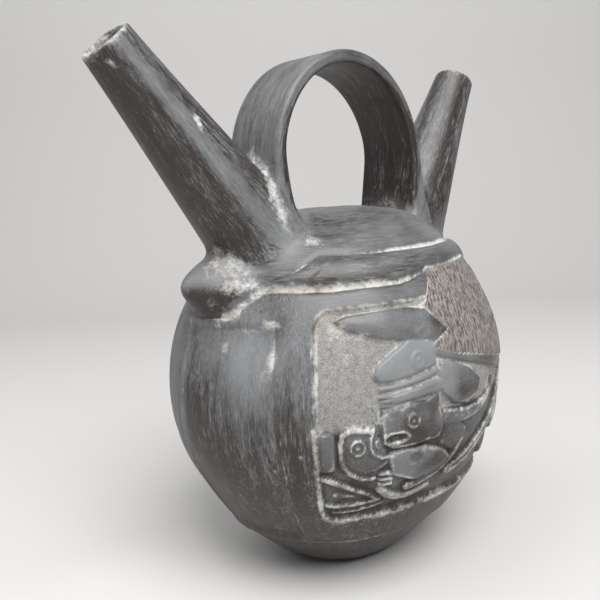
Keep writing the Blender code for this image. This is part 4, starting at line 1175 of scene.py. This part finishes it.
def burnished_blackware():
    """Smoked clay: streaky polish with painted light and shade, pale earth in the hollows with a
    painted highlight on raised rims, a matt stippled ground.
    """
    mat = Recipe("burnished_blackware")
    place = mat.node("TexCoord", {}, "Object")
    round_body = mat.node("Mapping", {"Vector": place, "Scale": (0.12, 0.12, 1)}, "Vector")
    dirt_and_highlight, ground, hair, polish_and_painted_light, level, even, strokes = (
        mat.attribute(name) for name in ("dirt_and_highlight", "ground", "hair", "polish_and_painted_light", "level", "even", "strokes"))
    grain = mat.attribute("grain", "Vector")
    clouds = mat.noise(place, 42, 4)
    blotch = mat.noise(place, 130)
    speckle = mat.noise(place, 1700, 2, 0.7)
    grit = mat.noise(place, 480, 6, 0.72)
    fine = mat.blend(level, mat.noise(grain, 1700, 3, 0.65), mat.noise(round_body, 1700, 3, 0.65))
    fine = mat.blend(even, fine, mat.total((speckle, 0.25), less=-0.375))
    broad = mat.blend(level, mat.noise(grain, 330), mat.noise(round_body, 330))
    broad = mat.blend(even, broad, blotch)

    streaks = mat.total((broad, 1.2), (fine, 2.1), (speckle, 0.7), less=2)
    calm = mat.total((mat.ramp(polish_and_painted_light, 0.2, 0.58), -0.66), (level, -0.24), less=-1)
    streaks = mat.maths("MULTIPLY", streaks, calm)
    # The polish share carries painted light and shade as well as polish.
    polish = mat.total((polish_and_painted_light, 1), (clouds, 0.8), (streaks, 1), less=0.4)
    colour = mat.mix(mat.ramp(polish, -0.05, 1.05), BROWN_BLACK, POLISH_AND_REFLECTION_GREY)
    specks = mat.ramp(mat.total((fine, 1), (speckle, 1)), 1.22, 1.36)
    colour = mat.mix(mat.maths("MULTIPLY", specks, 0.5), colour, GROUND_GREY)

    stipple = mat.ramp(mat.total((mat.noise(place, 2600, 2), 1), (grit, 0.7)), 0.62, 1.02)
    matt = mat.ramp(mat.total((ground, 1), (grit, 0.5), less=0.25), 0.3, 0.7)
    colour = mat.mix(matt, colour, mat.mix(stipple, GROUND_DARK, GROUND_GREY))
    furry = mat.noise(grain, 1100, 3, 0.6)
    furry = mat.ramp(mat.total((furry, 1.2), (speckle, 0.4), (strokes, -0.22)), 0.52, 0.98)
    colour = mat.mix(hair, colour, mat.mix(furry, HAIR_DARK, HAIR_GREY))

    # Pale earth, with the painted highlight on the lower relief's rims mixed in.
    dust_and_highlight = mat.total((dirt_and_highlight, 1), (grit, 1.3), (blotch, 1), less=1.15)
    pits = mat.ramp(mat.noise(place, 900, 2), 0.42, 0.32)
    dust_and_highlight = mat.maths("MULTIPLY", mat.ramp(dust_and_highlight, 0.36, 1.06), mat.total((pits, -0.55), less=-0.95))
    dust_and_highlight_colour = mat.mix(mat.ramp(clouds, 0.38, 0.52), BEIGE_EARTH_AND_HIGHLIGHT, PALE_EARTH_AND_HIGHLIGHT)
    dull = mat.maths("MAXIMUM", mat.maths("MAXIMUM", matt, dust_and_highlight), mat.maths("MULTIPLY", hair, 0.7))
    height = mat.total((fine, 0.5), (grit, 0.5), (mat.maths("MULTIPLY", speckle, dull), 1.2))
    mat.feed(mat.shader, {
        "Base Color": mat.mix(dust_and_highlight, colour, dust_and_highlight_colour),
        "Roughness": mat.total((fine, 0.22), (dull, 0.4), (clouds, 0.2), less=-0.24),
        "Specular IOR Level": 0.5,
        "Normal": mat.node("Bump", {"Strength": 0.5, "Distance": 0.0003, "Height": height}, "Normal"),
    })
    return mat.material


def make_stage():
    """A pale floor that curves up into a backdrop: a quarter circle between two flats."""
    radius, reach, back, height, half_width = 0.35, 1.3, 0.55, 1.1, 2.2
    angle = np.linspace(0, 0.5 * math.pi, 17)
    depth = np.concatenate([[-reach], back + radius * np.sin(angle), [back + radius]])
    rise = np.concatenate([[0], radius - radius * np.cos(angle), [height]])
    side = np.array([-half_width, half_width])
    right = np.array([math.cos(CAMERA_YAW), math.sin(CAMERA_YAW)])
    ahead = np.array([-math.sin(CAMERA_YAW), math.cos(CAMERA_YAW)])
    flat = side[None, :, None] * right + depth[:, None, None] * ahead
    points = np.dstack([flat, np.repeat(rise[:, None], 2, axis=1)]).reshape(-1, 3)
    row = np.arange(len(depth) - 1)
    faces = np.stack([2 * row, 2 * row + 1, 2 * row + 3, 2 * row + 2], axis=-1)
    mesh = bpy.data.meshes.new("floor")
    mesh.from_pydata(points.tolist(), [], faces.tolist())
    mesh.polygons.foreach_set("use_smooth", np.ones(len(faces), dtype=bool))
    floor = Recipe("pale_floor")
    floor.feed(floor.shader, {"Base Color": FLOOR_COLOUR, "Roughness": 0.8})
    mesh.materials.append(floor.material)
    put("floor", mesh)


def make_camera():
    """The camera that takes the photo's view."""
    data = bpy.data.cameras.new("camera")
    data.sensor_width = CAMERA_SENSOR
    data.lens = CAMERA_LENS
    data.clip_start = 0.01
    camera = put("camera", data)
    camera.matrix_world = (Matrix.Translation(CAMERA_PLACE) @ Matrix.Rotation(CAMERA_YAW, 4, "Z")
                           @ Matrix.Rotation(0.5 * math.pi - CAMERA_PITCH, 4, "X")
                           @ Matrix.Rotation(CAMERA_ROLL, 4, "Z"))
    bpy.context.scene.camera = camera


def soft_light(name, where, size, power):
    """A square soft light of the given size that points at the bottle."""
    data = bpy.data.lights.new(name, "AREA")
    data.shape = "SQUARE"
    data.size = size
    data.energy = power
    lamp = put(name, data)
    lamp.location = where
    lamp.rotation_euler = (LIGHT_AIM - Vector(where)).to_track_quat("-Z", "Y").to_euler()


def make_lights():
    """A soft light high in front, a broad one behind on the left, and a dim room."""
    soft_light("key", (-0.22, -0.62, 1.02), 0.8, 20)
    soft_light("overhead", (-0.55, 0.25, 1), 0.8, 5)
    world = bpy.data.worlds.new("room")
    world.use_nodes = True
    background = world.node_tree.nodes["Background"]
    background.inputs["Color"].default_value = (0.9, 0.93, 1, 1)
    background.inputs["Strength"].default_value = 0.22
    bpy.context.scene.world = world
    bpy.context.scene.view_settings.view_transform = "Standard"


make_camera()
make_lights()
make_stage()
bottle = build_bottle()
bottle.data.materials.append(burnished_blackware())
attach(bottle, "root")
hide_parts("bottle")
